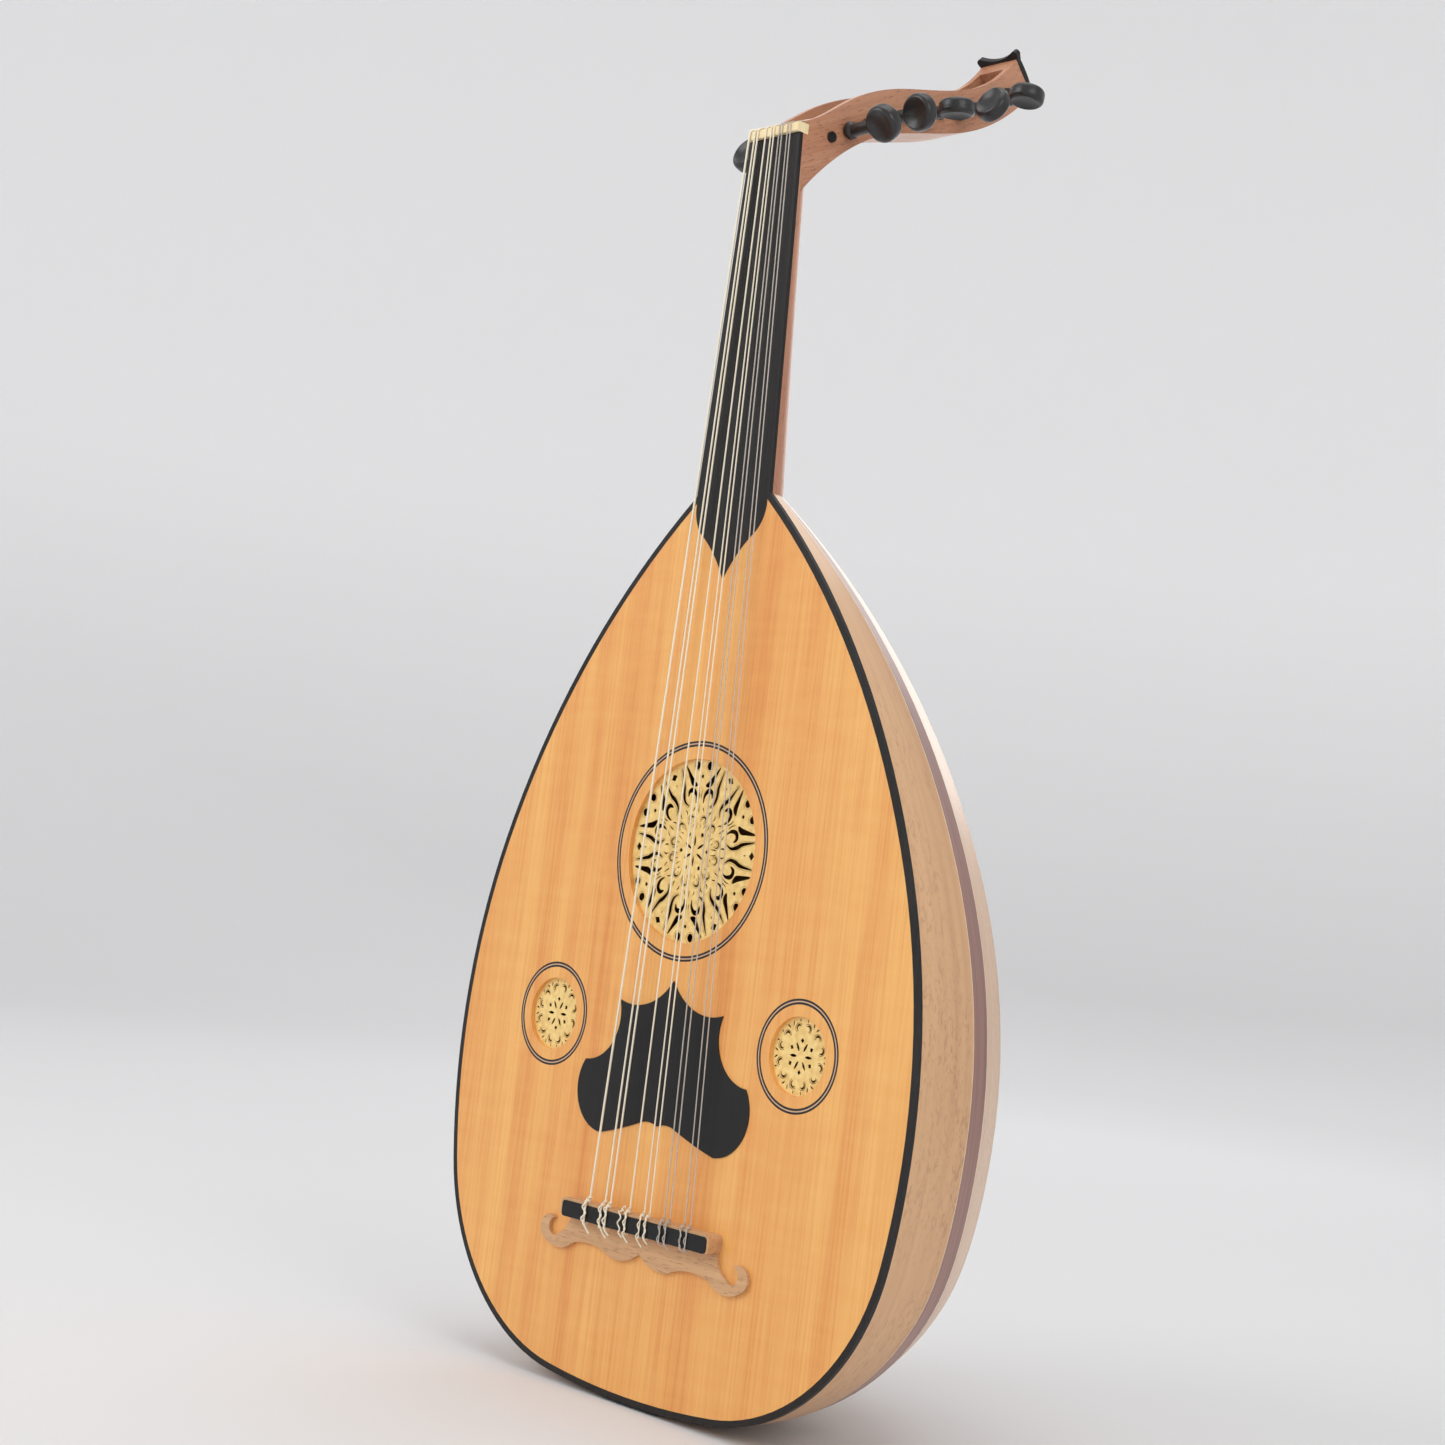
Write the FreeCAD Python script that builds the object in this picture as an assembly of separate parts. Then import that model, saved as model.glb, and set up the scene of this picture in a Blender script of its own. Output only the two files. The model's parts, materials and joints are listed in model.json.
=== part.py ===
"""An oud: staved bowl, soundboard, neck, bent-back pegbox, friction pegs and strings.

Millimetres. The origin is the tail end of the soundboard's front face, on its centre line. +Z runs up
the neck, -Y points out of the soundboard and +X is the treble side.
"""
import FreeCAD, Part
import math
import os
from FreeCAD import Vector

# Body
BODY_WIDTH = 355.3
# Outline from the tail: each arc's radius as a share of the half width, and the heading it turns to.
OUTLINE = ((3.0566, 6.9), (0.6901, 78.8), (2.0349, 108.7), (2.5567, None))
BOWL_DEPTH_RATIO = 0.97          # bowl depth over half width
RIB_THICKNESS = 2.5
WIDE_RIB_ANGLE = 16.7
NARROW_RIB_ANGLE = (180 - 8 * WIDE_RIB_ANGLE) / 7
RIB_COUNT = 15
RIB_START_RADIUS = 16.0          # where the ribs end, round the tail's pole
FILLET_STRIP = 0.6               # width of the pale strip in each seam
TAIL_CAP_RADIUS = 22.0
TAIL_CAP_THICKNESS = 1.2
TAIL_BLOCK_RADIUS = 42.0
TAIL_BLOCK_HEIGHT = 22.0
NECK_BLOCK_LENGTH = 36.0
GLUE_GAP = 0.05

# Soundboard and what lies on it
SOUNDBOARD_THICKNESS = 2.6
BINDING_WIDTH = 3.5
BINDING_FLANGE = 1.2
BRACE_WIDTH = 6.0
BRACE_HEIGHT = 14.0
BRACE_PLACES = (0.1, 0.245, 0.325, 0.474, 0.732, 0.82, 0.91)   # shares of the body's length
MAIN_ROSE_PLACE = 0.601          # share of the body's length
MAIN_HOLE_RADIUS = 49.3
MAIN_RING_RADIUS = 58.9
SMALL_ROSE_PLACE = 0.4
SMALL_ROSE_OFFSET = 0.5427       # share of the half width
SMALL_HOLE_RADIUS = 19.8
SMALL_RING_RADIUS = 28.7
RING_WIDTH = 2.9
RING_DEPTH = 0.8
ROSE_MARGIN = 5.0                # glued margin of a rosette behind its hole
ROSE_THICKNESS = 1.6
PICKGUARD_THICKNESS = 0.6
PICKGUARD_TIP = 221.0            # its top point above the tail
PICKGUARD_HALF_WIDTH = 67.0

# Bridge
BRIDGE_PLACE = 98.0              # neck side of the tie block, above the tail
BRIDGE_BAR_DEPTH = 10.0
BRIDGE_BAR_HEIGHT = 9.4
BRIDGE_BAR_HALF_LENGTH = 58.8
BRIDGE_HALF_LENGTH = 66.3        # foot, to where its ends curl up
BRIDGE_CORNER = 2.4
TIE_PLATE_HALF_LENGTH = 57.2
TIE_PLATE_THICKNESS = 0.6
TIE_PLATE_RIM = 1.4              # wood left above the plate
TIE_PLATE_CORNER = 2.0
APRON_THICKNESS = 2.4
STRING_HOLE_RADIUS = 0.9
BRIDGE_STRING_HEIGHT = 8.0

# Neck, fingerboard and nut
NECK_FOOT_WIDTH = 57.0
NECK_LENGTH = 198.3
NECK_HEAD_WIDTH = 38.6
NECK_HEAD_DEPTH = 16.0
NECK_SECTION_POWER = 1.75        # 2 is an ellipse, 1 a wedge
FINGERBOARD_THICKNESS = 2.4
TONGUE_LENGTH = 46.8
TONGUE_DEPTH = 1.0
NUT_THICKNESS = 5.5
NUT_HEIGHT = 2.2
NUT_SEAT = 6.0                   # how far the nut reaches behind the fingerboard's face
NUT_ROUND = 1.8

# Pegbox: side profile, (back, up) from the front of the nut
PROFILE_TOP = ((0, 5.5), (15.6, 14), (36.9, 30), (64.4, 45), (108.9, 59.4), (141, 72.3), (172.5, 100))
PROFILE_BOTTOM = ((4.5, -32.5), (28.4, -6.6), (54.7, 13), (83.1, 25.7), (137.6, 44.4), (166.3, 61.9),
                  (189, 84))
PEGBOX_SLOPE = math.radians(27)  # mean direction of the pegbox, above the +Y axis
PEGBOX_LENGTH = 200.0
PEGBOX_TIP_WIDTH = 27.0
CHEEK_THICKNESS = 4.6
BACK_THICKNESS = 5.0
END_BLOCK_LENGTH = 9.0
CAP_THICKNESS = 3.6
CAP_OVERHANG = 1.6

# Pegs: (back, up) from the front of the nut, side of the head, rest turn of the head in degrees
PEG_PLACES = ((24, 4.4, -1, 20), (36.6, 11.8, 1, 38), (50.6, 20.4, -1, 75), (64.4, 27.2, 1, 20),
              (79.6, 33.6, -1, 130), (94.6, 39.4, 1, 96), (110, 45.6, -1, 50), (125, 51.6, 1, 160),
              (140, 58.2, -1, 100), (154, 66.4, 1, 82), (167, 77.2, -1, 30))
PEG_RADIUS = 3.6                 # where it enters the pegbox on the head's side
PEG_TAPER = 1 / 60               # loss of radius per length
PEG_CLEARANCE = 0.05
PEG_TIP = 1.5
PEG_COLLAR_RADIUS = 4.9
PEG_HEAD_REACH = 27.0            # head's centre, outside the cheek
PEG_HEAD_RADIUS = 10.4
PEG_HEAD_THICKNESS = 8.6

# Strings, from the bass to the treble
COURSES = (1, 2, 2, 2, 2, 2)
GAUGES = (0.62, 0.52, 0.46, 0.4, 0.36, 0.32)
BRIDGE_COURSE_PITCH = 15.8
BRIDGE_PAIR_GAP = 4.3
BRIDGE_SHIFT = 1.1
NUT_COURSE_PITCH = 6.3
NUT_PAIR_GAP = 2.3
NUT_SHIFT = -2.85
SINGLE_SHIFT = 1.0
STRING_CLEARANCE = 0.3
WINDING_HEIGHT = 0.8             # room for the turns wound on a peg, under the string's end
STRING_SPREAD = 0.78             # share of the pegbox's width that the strings keep inside it

half_width = BODY_WIDTH / 2


def outline_arcs():
    """Each arc of the outline: centre x and z, radius, first and last heading."""
    arcs = []
    x, z, heading = 0.0, 0.0, 0.0
    for share, turn_to in OUTLINE:
        radius = share * half_width
        centre_x = x - radius * math.sin(heading)
        centre_z = z + radius * math.cos(heading)
        if turn_to is None:
            end = math.pi - math.asin((NECK_FOOT_WIDTH / 2 - centre_x) / radius)
        else:
            end = math.radians(turn_to)
        arcs.append((centre_x, centre_z, radius, heading, end))
        x = centre_x + radius * math.sin(end)
        z = centre_z - radius * math.cos(end)
        heading = end
    return arcs


ARCS = outline_arcs()


def arc_point(arc, heading, inset=0.0):
    """Half width and height of the outline, moved in by inset, where it has this heading."""
    reach = arc[2] - inset
    return arc[0] + reach * math.sin(heading), arc[1] - reach * math.cos(heading)


body_length = arc_point(ARCS[-1], ARCS[-1][4])[1]
nut_place = body_length + NECK_LENGTH
neck_foot_depth = NECK_FOOT_WIDTH / 2 * BOWL_DEPTH_RATIO


def last_heading(inset):
    """Heading at which the inset outline meets the neck's foot."""
    centre_x, centre_z, radius, first, last = ARCS[-1]
    return math.acos((centre_z - body_length) / (radius - inset))


def half_width_at(height, inset=0.0):
    """The outline's half width at a height."""
    for arc in ARCS:
        if height <= arc_point(arc, arc[4])[1]:
            cosine = (arc[1] - height) / (arc[2] - inset)
            return arc_point(arc, math.acos(max(-1.0, min(1.0, cosine))), inset)[0]
    return NECK_FOOT_WIDTH / 2 - inset


def box(x0, x1, y0, y1, z0, z1):
    return Part.makeBox(x1 - x0, y1 - y0, z1 - z0, Vector(x0, y0, z0))


def disc(radius, x, z, y0, y1):
    """Round plate lying in the soundboard's plane."""
    return Part.makeCylinder(radius, y1 - y0, Vector(x, y0, z), Vector(0, 1, 0))


def three_point_arc(start, through, end):
    return Part.Arc(start, through, end).toShape()


def spline(points):
    curve = Part.BSplineCurve()
    curve.interpolate(Points=points)
    return curve.toShape()


def face_of(edges):
    return Part.Face(Part.Wire(Part.__sortEdges__(edges)))


def mirrored_face(half, y):
    """Face in the plane y from a right-hand half outline, a list of arcs given as (x, z) points."""
    edges = []
    for side in (1, -1):
        for piece in half:
            points = [Vector(side * px, y, pz) for px, pz in piece]
            if len(points) == 2:
                edges.append(Part.makeLine(*points))
            else:
                edges.append(three_point_arc(*points))
    return face_of(edges)


def outline_half(inset):
    """Right-hand half of the body's outline, moved in by inset, as arcs and the line at the neck."""
    pieces = []
    for index, arc in enumerate(ARCS):
        first, last = arc[3], arc[4]
        if index == len(ARCS) - 1:
            last = last_heading(inset)
        middle = (first + last) / 2
        pieces.append([arc_point(arc, heading, inset) for heading in (first, middle, last)])
    end = pieces[-1][-1]
    pieces.append([end, (0.0, end[1])])
    return pieces


def body_plate(inset, y0, y1):
    return mirrored_face(outline_half(inset), y0).extrude(Vector(0, y1 - y0, 0))


# The bowl

def seam_angles():
    angles = [0.0]
    for number in range(RIB_COUNT):
        angles.append(angles[-1] + (NARROW_RIB_ANGLE if number % 2 else WIDE_RIB_ANGLE))
    return [math.radians(angle) for angle in angles]


def seam_stations(inset):
    """Half width and height of points along a seam, in step for every inset."""
    start = math.asin(RIB_START_RADIUS / ARCS[0][2])
    stations = []
    for index, arc in enumerate(ARCS):
        first = start if index == 0 else arc[3]
        last = last_heading(inset) if index == len(ARCS) - 1 else arc[4]
        steps = (3, 8, 5, 7)[index]
        for step in range(steps):
            stations.append(arc_point(arc, first + (last - first) * step / steps, inset))
    stations.append(arc_point(ARCS[-1], last_heading(inset), inset))
    return stations


def seam_parameters():
    """Chord-length parameters of the outline's stations, shared by every seam."""
    stations = seam_stations(0.0)
    lengths = [0.0]
    for before, after in zip(stations, stations[1:]):
        lengths.append(lengths[-1] + math.dist(before, after))
    return [length / lengths[-1] for length in lengths]


def radial_point(station, angle, shift):
    """A station turned to its seam's plane and moved across it by shift."""
    width, height = station
    across = Vector(-BOWL_DEPTH_RATIO * math.sin(angle), math.cos(angle), 0)
    across.normalize()
    place = Vector(width * math.cos(angle), width * BOWL_DEPTH_RATIO * math.sin(angle), height)
    return place + across * shift


def seam_wire(angle, shift):
    """Closed section of the bowl's wall in a seam's plane, from the tail to the neck."""
    curves, ends = [], []
    for inset in (0.0, RIB_THICKNESS):
        points = [radial_point(station, angle, shift) for station in seam_stations(inset)]
        curve = Part.BSplineCurve()
        curve.interpolate(Points=points, Parameters=seam_parameters())
        curves.append(curve.toShape())
        ends.append((points[0], points[-1]))
    return Part.Wire([curves[0], Part.makeLine(ends[0][1], ends[1][1]), curves[1],
                      Part.makeLine(ends[1][0], ends[0][0])])


def make_ribs():
    angles = seam_angles()
    ribs = []
    for number in range(RIB_COUNT):
        first_shift = SOUNDBOARD_THICKNESS if number == 0 else FILLET_STRIP / 2
        last_shift = -SOUNDBOARD_THICKNESS if number == RIB_COUNT - 1 else -FILLET_STRIP / 2
        wires = [seam_wire(angles[number], first_shift), seam_wire(angles[number + 1], last_shift)]
        ribs.append(Part.makeLoft(wires, True, True))
    return ribs


def make_rib_fillets():
    strips = []
    for angle in seam_angles()[1:-1]:
        section = Part.Face(seam_wire(angle, -FILLET_STRIP / 2))
        across = radial_point((0, 0), angle, FILLET_STRIP)
        strips.append(section.extrude(across))
    return Part.makeCompound(strips)


def tail_height(reach, ratio):
    """Height of the bowl's outside near the tail at a distance from the pole, by the arc's formula."""
    radius = ARCS[0][2]
    return radius - math.sqrt(radius ** 2 - (reach / ratio) ** 2)


def half_turned(profile):
    """Half disc behind the soundboard, from a profile of (reach, height) points closed on the pole."""
    points = [Vector(reach, 0, height) for reach, height in profile]
    section = Part.Face(Part.makePolygon(points + [points[0]]))
    turned = section.revolve(Vector(0, 0, 0), Vector(0, 0, 1), 180)
    back = SOUNDBOARD_THICKNESS + GLUE_GAP
    limit = 2 * half_width
    return turned.common(box(-limit, limit, back, limit, -limit, limit))


def make_tail_cap():
    steps = 4
    reaches = [TAIL_CAP_RADIUS * step / steps for step in range(steps + 1)]
    inner = [(reach, tail_height(reach, 1.0) - GLUE_GAP) for reach in reaches]
    outer = [(reach, height - TAIL_CAP_THICKNESS) for reach, height in reversed(inner)]
    return half_turned(inner + outer)


def make_tail_block():
    steps = 4
    reaches = [TAIL_BLOCK_RADIUS * step / steps for step in range(steps + 1)]
    under = [(reach, tail_height(reach, BOWL_DEPTH_RATIO) + RIB_THICKNESS + GLUE_GAP) for reach in reaches]
    return half_turned(under + [(TAIL_BLOCK_RADIUS, TAIL_BLOCK_HEIGHT), (0.0, TAIL_BLOCK_HEIGHT)])


def make_neck_block():
    """Block inside the bowl's neck end, with a face for each rib."""
    front = SOUNDBOARD_THICKNESS + GLUE_GAP
    wires = []
    for share in (0.0, 0.5, 1.0):
        height = body_length - NECK_BLOCK_LENGTH * share
        width = half_width_at(height, RIB_THICKNESS) - GLUE_GAP
        points = [Vector(width, front, height)]
        points += [Vector(width * math.cos(angle), width * BOWL_DEPTH_RATIO * math.sin(angle), height)
                   for angle in seam_angles()[1:-1]]
        points.append(Vector(-width, front, height))
        wires.append(Part.makePolygon(points + [points[0]]))
    return Part.makeLoft(wires, True, True)


# The soundboard and its trim

main_rose_height = MAIN_ROSE_PLACE * body_length
small_rose_height = SMALL_ROSE_PLACE * body_length
small_rose_offset = SMALL_ROSE_OFFSET * half_width
ROSES = (("main", 0.0, main_rose_height, MAIN_HOLE_RADIUS, MAIN_RING_RADIUS),
         ("right", small_rose_offset, small_rose_height, SMALL_HOLE_RADIUS, SMALL_RING_RADIUS),
         ("left", -small_rose_offset, small_rose_height, SMALL_HOLE_RADIUS, SMALL_RING_RADIUS))


def tongue(depth):
    """The fingerboard's pointed end on the soundboard, down to a depth."""
    foot = NECK_FOOT_WIDTH / 2 - 1.5
    shoulder = (foot - 5.0, body_length - 20.5)
    tip = (0.0, body_length - TONGUE_LENGTH)
    belly = ((shoulder[0] + tip[0]) / 2 - 1.4, (shoulder[1] + tip[1]) / 2 + 1.2)
    half = [[(foot, body_length), (foot + 0.4, body_length - 10), shoulder], [shoulder, belly, tip],
            [(foot, body_length), (0.0, body_length)]]
    return mirrored_face(half, 0.0).extrude(Vector(0, depth, 0))


def make_soundboard():
    board = body_plate(BINDING_WIDTH, 0, BINDING_FLANGE)
    board = board.fuse(body_plate(BINDING_FLANGE, BINDING_FLANGE, SOUNDBOARD_THICKNESS))
    for name, x, z, hole, ring in ROSES:
        board = board.cut(disc(hole, x, z, -1, SOUNDBOARD_THICKNESS + 1))
        board = board.cut(ring_solid(ring, x, z))
    return board.cut(tongue(TONGUE_DEPTH)).removeSplitter()


def ring_solid(radius, x, z):
    outer = disc(radius, x, z, 0, RING_DEPTH)
    return outer.cut(disc(radius - RING_WIDTH, x, z, 0, RING_DEPTH))


def make_rosette(x, z, hole):
    """Pierced disc behind its hole: an eight-petalled pattern of round windows inside a solid rim."""
    back = SOUNDBOARD_THICKNESS
    plate = disc(hole + ROSE_MARGIN, x, z, back, back + ROSE_THICKNESS)
    windows = []
    for row_reach, row_radius, count in ((0.32, 0.1, 8), (0.62, 0.14, 12), (0.88, 0.07, 24)):
        for number in range(count):
            turn = 2 * math.pi * number / count
            windows.append(disc(row_radius * hole, x + row_reach * hole * math.cos(turn),
                                z + row_reach * hole * math.sin(turn), back - 1, back + ROSE_THICKNESS + 1))
    return plate.cut(Part.makeCompound(windows))


def make_binding():
    flange = body_plate(0, 0, BINDING_FLANGE).cut(body_plate(BINDING_WIDTH, 0, BINDING_FLANGE))
    edge = body_plate(0, BINDING_FLANGE, SOUNDBOARD_THICKNESS)
    edge = edge.cut(body_plate(BINDING_FLANGE, BINDING_FLANGE, SOUNDBOARD_THICKNESS))
    return flange.fuse(edge).cut(tongue(SOUNDBOARD_THICKNESS)).removeSplitter()


def make_braces():
    """Cross bars under the soundboard, cut to the bowl's width."""
    back = SOUNDBOARD_THICKNESS
    bars = []
    for place in BRACE_PLACES:
        height = place * body_length
        inner = half_width_at(height, RIB_THICKNESS)
        rise = (back + BRACE_HEIGHT) / (BOWL_DEPTH_RATIO * inner)
        facet = math.cos(math.radians(WIDE_RIB_ANGLE / 2))
        reach = inner * math.sqrt(1 - rise ** 2) * facet - BRACE_WIDTH / 2
        low, high = height - BRACE_WIDTH / 2, height + BRACE_WIDTH / 2
        bars.append(box(-reach, reach, back, back + BRACE_HEIGHT, low, high))
    return Part.makeCompound(bars)


def make_pickguard():
    """Ogee plate between the small rosettes and the bridge."""
    top = PICKGUARD_TIP
    side = PICKGUARD_HALF_WIDTH
    cusp = (side - 26.3, top - 14)
    corner = (side - 3.5, top - 48.8)
    half = [[(0, top), (side - 50.5, top - 13.2), cusp],
            [cusp, (side - 24.2, top - 37), corner],
            [corner, (side - 2.2, top - 74), (side - 22, top - 86.2)],
            [(side - 22, top - 86.2), (side - 38, top - 81.8), (side - 55, top - 75.9)],
            [(side - 55, top - 75.9), (side - 61, top - 75.3), (0, top - 76.7)]]
    return mirrored_face(half, -PICKGUARD_THICKNESS).extrude(Vector(0, PICKGUARD_THICKNESS, 0))


# The bridge

tie_low = BRIDGE_PLACE - BRIDGE_BAR_DEPTH
tie_plate_low = tie_low + 0.2
tie_plate_high = BRIDGE_PLACE - TIE_PLATE_RIM


def rounded_plate(half_length, low, high, corner, y0, y1):
    plate = box(-half_length, half_length, y0, y1, low, high)
    upright = [edge for edge in plate.Edges if abs(edge.tangentAt(edge.FirstParameter).y) > 0.9]
    return plate.makeFillet(corner, upright)


def apron_half():
    """Half outline of the bridge's foot: a scalloped edge that sweeps out into a curled-up end."""
    low = tie_low
    out = BRIDGE_HALF_LENGTH
    bar = BRIDGE_BAR_HALF_LENGTH
    return [[(0, BRIDGE_PLACE - 0.5), (bar - 1.5, BRIDGE_PLACE - 0.5)],
            [(bar - 1.5, BRIDGE_PLACE - 0.5), (bar - 0.6, low - 2.5), (out + 0.5, low - 11.2)],
            [(out + 0.5, low - 11.2), (out + 7.6, low - 11.4), (out + 5.2, low - 3.4)],
            [(out + 5.2, low - 3.4), (out + 15.6, low - 7.4), (out + 11.2, low - 15.8)],
            [(out + 11.2, low - 15.8), (out - 1.0, low - 18.6), (out - 12.5, low - 14)],
            [(out - 12.5, low - 14), (out - 28, low - 12.2), (out - 43, low - 16)],
            [(out - 43, low - 16), (out - 53.5, low - 16.2), (0, low - 10.4)]]


def make_bridge():
    bar = rounded_plate(BRIDGE_BAR_HALF_LENGTH, tie_low, BRIDGE_PLACE, BRIDGE_CORNER, -BRIDGE_BAR_HEIGHT, 0)
    foot = mirrored_face(apron_half(), -APRON_THICKNESS).extrude(Vector(0, APRON_THICKNESS, 0))
    bridge = bar.fuse(foot).removeSplitter()
    for string in strings():
        start = Vector(string["bridge_x"], -BRIDGE_STRING_HEIGHT, tie_low - 1)
        bore = Part.makeCylinder(STRING_HOLE_RADIUS, BRIDGE_BAR_DEPTH + 2, start, Vector(0, 0, 1))
        bridge = bridge.cut(bore)
    return bridge


def make_tie_plate():
    return rounded_plate(TIE_PLATE_HALF_LENGTH, tie_plate_low, tie_plate_high, TIE_PLATE_CORNER,
                         -BRIDGE_BAR_HEIGHT - TIE_PLATE_THICKNESS, -BRIDGE_BAR_HEIGHT)


# The neck

def neck_wire(height, width, depth):
    """Closed section of the neck behind the fingerboard: a flat front and a full round back."""
    front = FINGERBOARD_THICKNESS
    count = 12
    points = []
    for step in range(count + 1):
        turn = math.pi * step / count
        cosine, sine = math.cos(turn), math.sin(turn)
        across = math.copysign(abs(cosine) ** (2 / NECK_SECTION_POWER), cosine) * width / 2
        points.append(Vector(across, front + (depth - front) * sine ** (2 / NECK_SECTION_POWER), height))
    return Part.Wire([spline(points), Part.makeLine(points[-1], points[0])])


def make_neck():
    wires = []
    for share in (0.0, 0.5, 1.0):
        width = NECK_FOOT_WIDTH + (NECK_HEAD_WIDTH - NECK_FOOT_WIDTH) * share
        depth = neck_foot_depth + (NECK_HEAD_DEPTH - neck_foot_depth) * share ** 0.8
        wires.append(neck_wire(body_length + NECK_LENGTH * share, width, depth))
    neck = Part.makeLoft(wires, True, False)
    return neck.cut(pegbox_profile()).fuse(neck_tenon(neck)).removeSplitter()


def neck_tenon(neck):
    """The part of the neck's end that fits between the cheeks, up to the pegbox's back."""
    return neck.common(between_cheeks(GLUE_GAP)).cut(pegbox_back_profile())


def make_fingerboard():
    width = NECK_FOOT_WIDTH / 2
    head = NECK_HEAD_WIDTH / 2
    corners = [Vector(-width, 0, body_length), Vector(width, 0, body_length),
               Vector(head, 0, nut_place), Vector(-head, 0, nut_place)]
    plate = Part.Face(Part.makePolygon(corners + [corners[0]]))
    plate = plate.extrude(Vector(0, FINGERBOARD_THICKNESS, 0))
    return plate.fuse(tongue(TONGUE_DEPTH)).removeSplitter()


def make_nut():
    half = NECK_HEAD_WIDTH / 2
    nut = box(-half, half, -NUT_HEIGHT, NUT_SEAT, nut_place, nut_place + NUT_THICKNESS)
    rim = [edge for edge in nut.Edges
           if abs(edge.CenterOfMass.y + NUT_HEIGHT) < 1e-6 and edge.Length > half]
    back = [edge for edge in rim if edge.CenterOfMass.z > nut_place + NUT_THICKNESS / 2]
    front = [edge for edge in rim if edge.CenterOfMass.z < nut_place + NUT_THICKNESS / 2]
    return nut.makeFillet(NUT_ROUND, back).makeFillet(NUT_ROUND / 2, front)


# The pegbox

along = Vector(0, math.cos(PEGBOX_SLOPE), math.sin(PEGBOX_SLOPE))
upward = Vector(0, -math.sin(PEGBOX_SLOPE), math.cos(PEGBOX_SLOPE))
pegbox_root = Vector(0, 0, nut_place)


def profile_point(place):
    return pegbox_root + Vector(0, place[0], place[1])


def pegbox_half_width(place):
    """Outer half width of the pegbox at a (back, up) place."""
    travel = (profile_point(place) - pegbox_root).dot(along)
    narrowing = (NECK_HEAD_WIDTH - PEGBOX_TIP_WIDTH) / 2 / PEGBOX_LENGTH
    return NECK_HEAD_WIDTH / 2 - narrowing * travel


def wedge(left_offset, right_offset, left_side, right_side):
    """Tapered slab across the pegbox, between two offsets from its outer faces."""
    corners = []
    for travel in (-80.0, PEGBOX_LENGTH + 60.0):
        centre = pegbox_root + along * travel
        half = pegbox_half_width((centre.y, centre.z - nut_place))
        left = Vector(left_side * (half - left_offset), centre.y, centre.z)
        right = Vector(right_side * (half - right_offset), centre.y, centre.z)
        corners.append((left, right))
    loop = [corners[0][0], corners[0][1], corners[1][1], corners[1][0], corners[0][0]]
    low = upward * -150
    face = Part.Face(Part.makePolygon([corner + low for corner in loop]))
    return face.extrude(upward * 300)


def between_cheeks(gap=0.0):
    inner = CHEEK_THICKNESS + gap
    return wedge(inner, inner, -1, 1)


def profile_prism(edges):
    """Side profile drawn in the centre plane, widened to both sides of the pegbox."""
    reach = NECK_HEAD_WIDTH
    face = face_of(edges)
    face.translate(Vector(-reach, 0, 0))
    return face.extrude(Vector(2 * reach, 0, 0))


def profile_edges(top_points, bottom_points):
    top = [profile_point(place) for place in top_points]
    bottom = [profile_point(place) for place in bottom_points]
    return [spline(top), spline(bottom), Part.makeLine(top[0], bottom[0]),
            Part.makeLine(top[-1], bottom[-1])]


def pegbox_profile():
    return profile_prism(profile_edges(PROFILE_TOP, PROFILE_BOTTOM))


def pegbox_back_profile():
    """The pegbox's back and the root block under the nut, in side view."""
    bottom = [profile_point(place) for place in PROFILE_BOTTOM[1:]]
    curve = Part.BSplineCurve()
    curve.interpolate(Points=[profile_point(place) for place in PROFILE_BOTTOM])
    first = curve.parameter(bottom[0])
    last = curve.LastParameter
    count = 8
    inner = []
    for step in range(count + 1):
        where = first + (last - first) * step / count
        tangent = curve.tangent(where)[0]
        normal = Vector(0, -tangent.z, tangent.y)
        inner.append(curve.value(where) + normal * BACK_THICKNESS)
    root_start = curve.value(curve.FirstParameter + (first - curve.FirstParameter) * 0.55)
    seat = profile_point((0.5, 0))
    shelf = profile_point((inner[0].y - 1.5, 0))
    curve.segment(curve.parameter(root_start), last)
    edges = [curve.toShape(), Part.makeLine(root_start, seat), Part.makeLine(seat, shelf),
             Part.makeLine(shelf, inner[0]), spline(inner), Part.makeLine(inner[-1], bottom[-1])]
    return profile_prism(edges)


def end_block_profile():
    """Closes the channel at the tip, across the end face."""
    top, bottom = profile_point(PROFILE_TOP[-1]), profile_point(PROFILE_BOTTOM[-1])
    across = (bottom - top).normalize()
    inward = Vector(0, across.z, -across.y) * END_BLOCK_LENGTH
    loop = [top, bottom, bottom + inward, top + inward, top]
    return profile_prism(Part.makePolygon(loop).Edges)


def peg_bores(clearance):
    """The pegs' tapered holes through both cheeks."""
    return Part.makeCompound([peg_cone(peg, clearance, NECK_HEAD_WIDTH) for peg in PEG_PLACES])


def make_cheeks(nut, fingerboard):
    whole = pegbox_profile().cut(nut).cut(fingerboard).cut(peg_bores(PEG_CLEARANCE))
    whole = whole.cut(Part.makeCompound([string_relief(string) for string in strings()]))
    thickness = CHEEK_THICKNESS
    right = whole.common(wedge(thickness, 0, 1, 1))
    left = whole.common(wedge(0, thickness, -1, -1))
    return left, right


def make_pegbox_back(fingerboard):
    back = pegbox_profile().common(pegbox_back_profile()).common(between_cheeks())
    return back.cut(fingerboard).cut(peg_bores(PEG_CLEARANCE))


def make_end_block():
    return pegbox_profile().common(end_block_profile()).common(between_cheeks()).cut(pegbox_back_profile())


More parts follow.
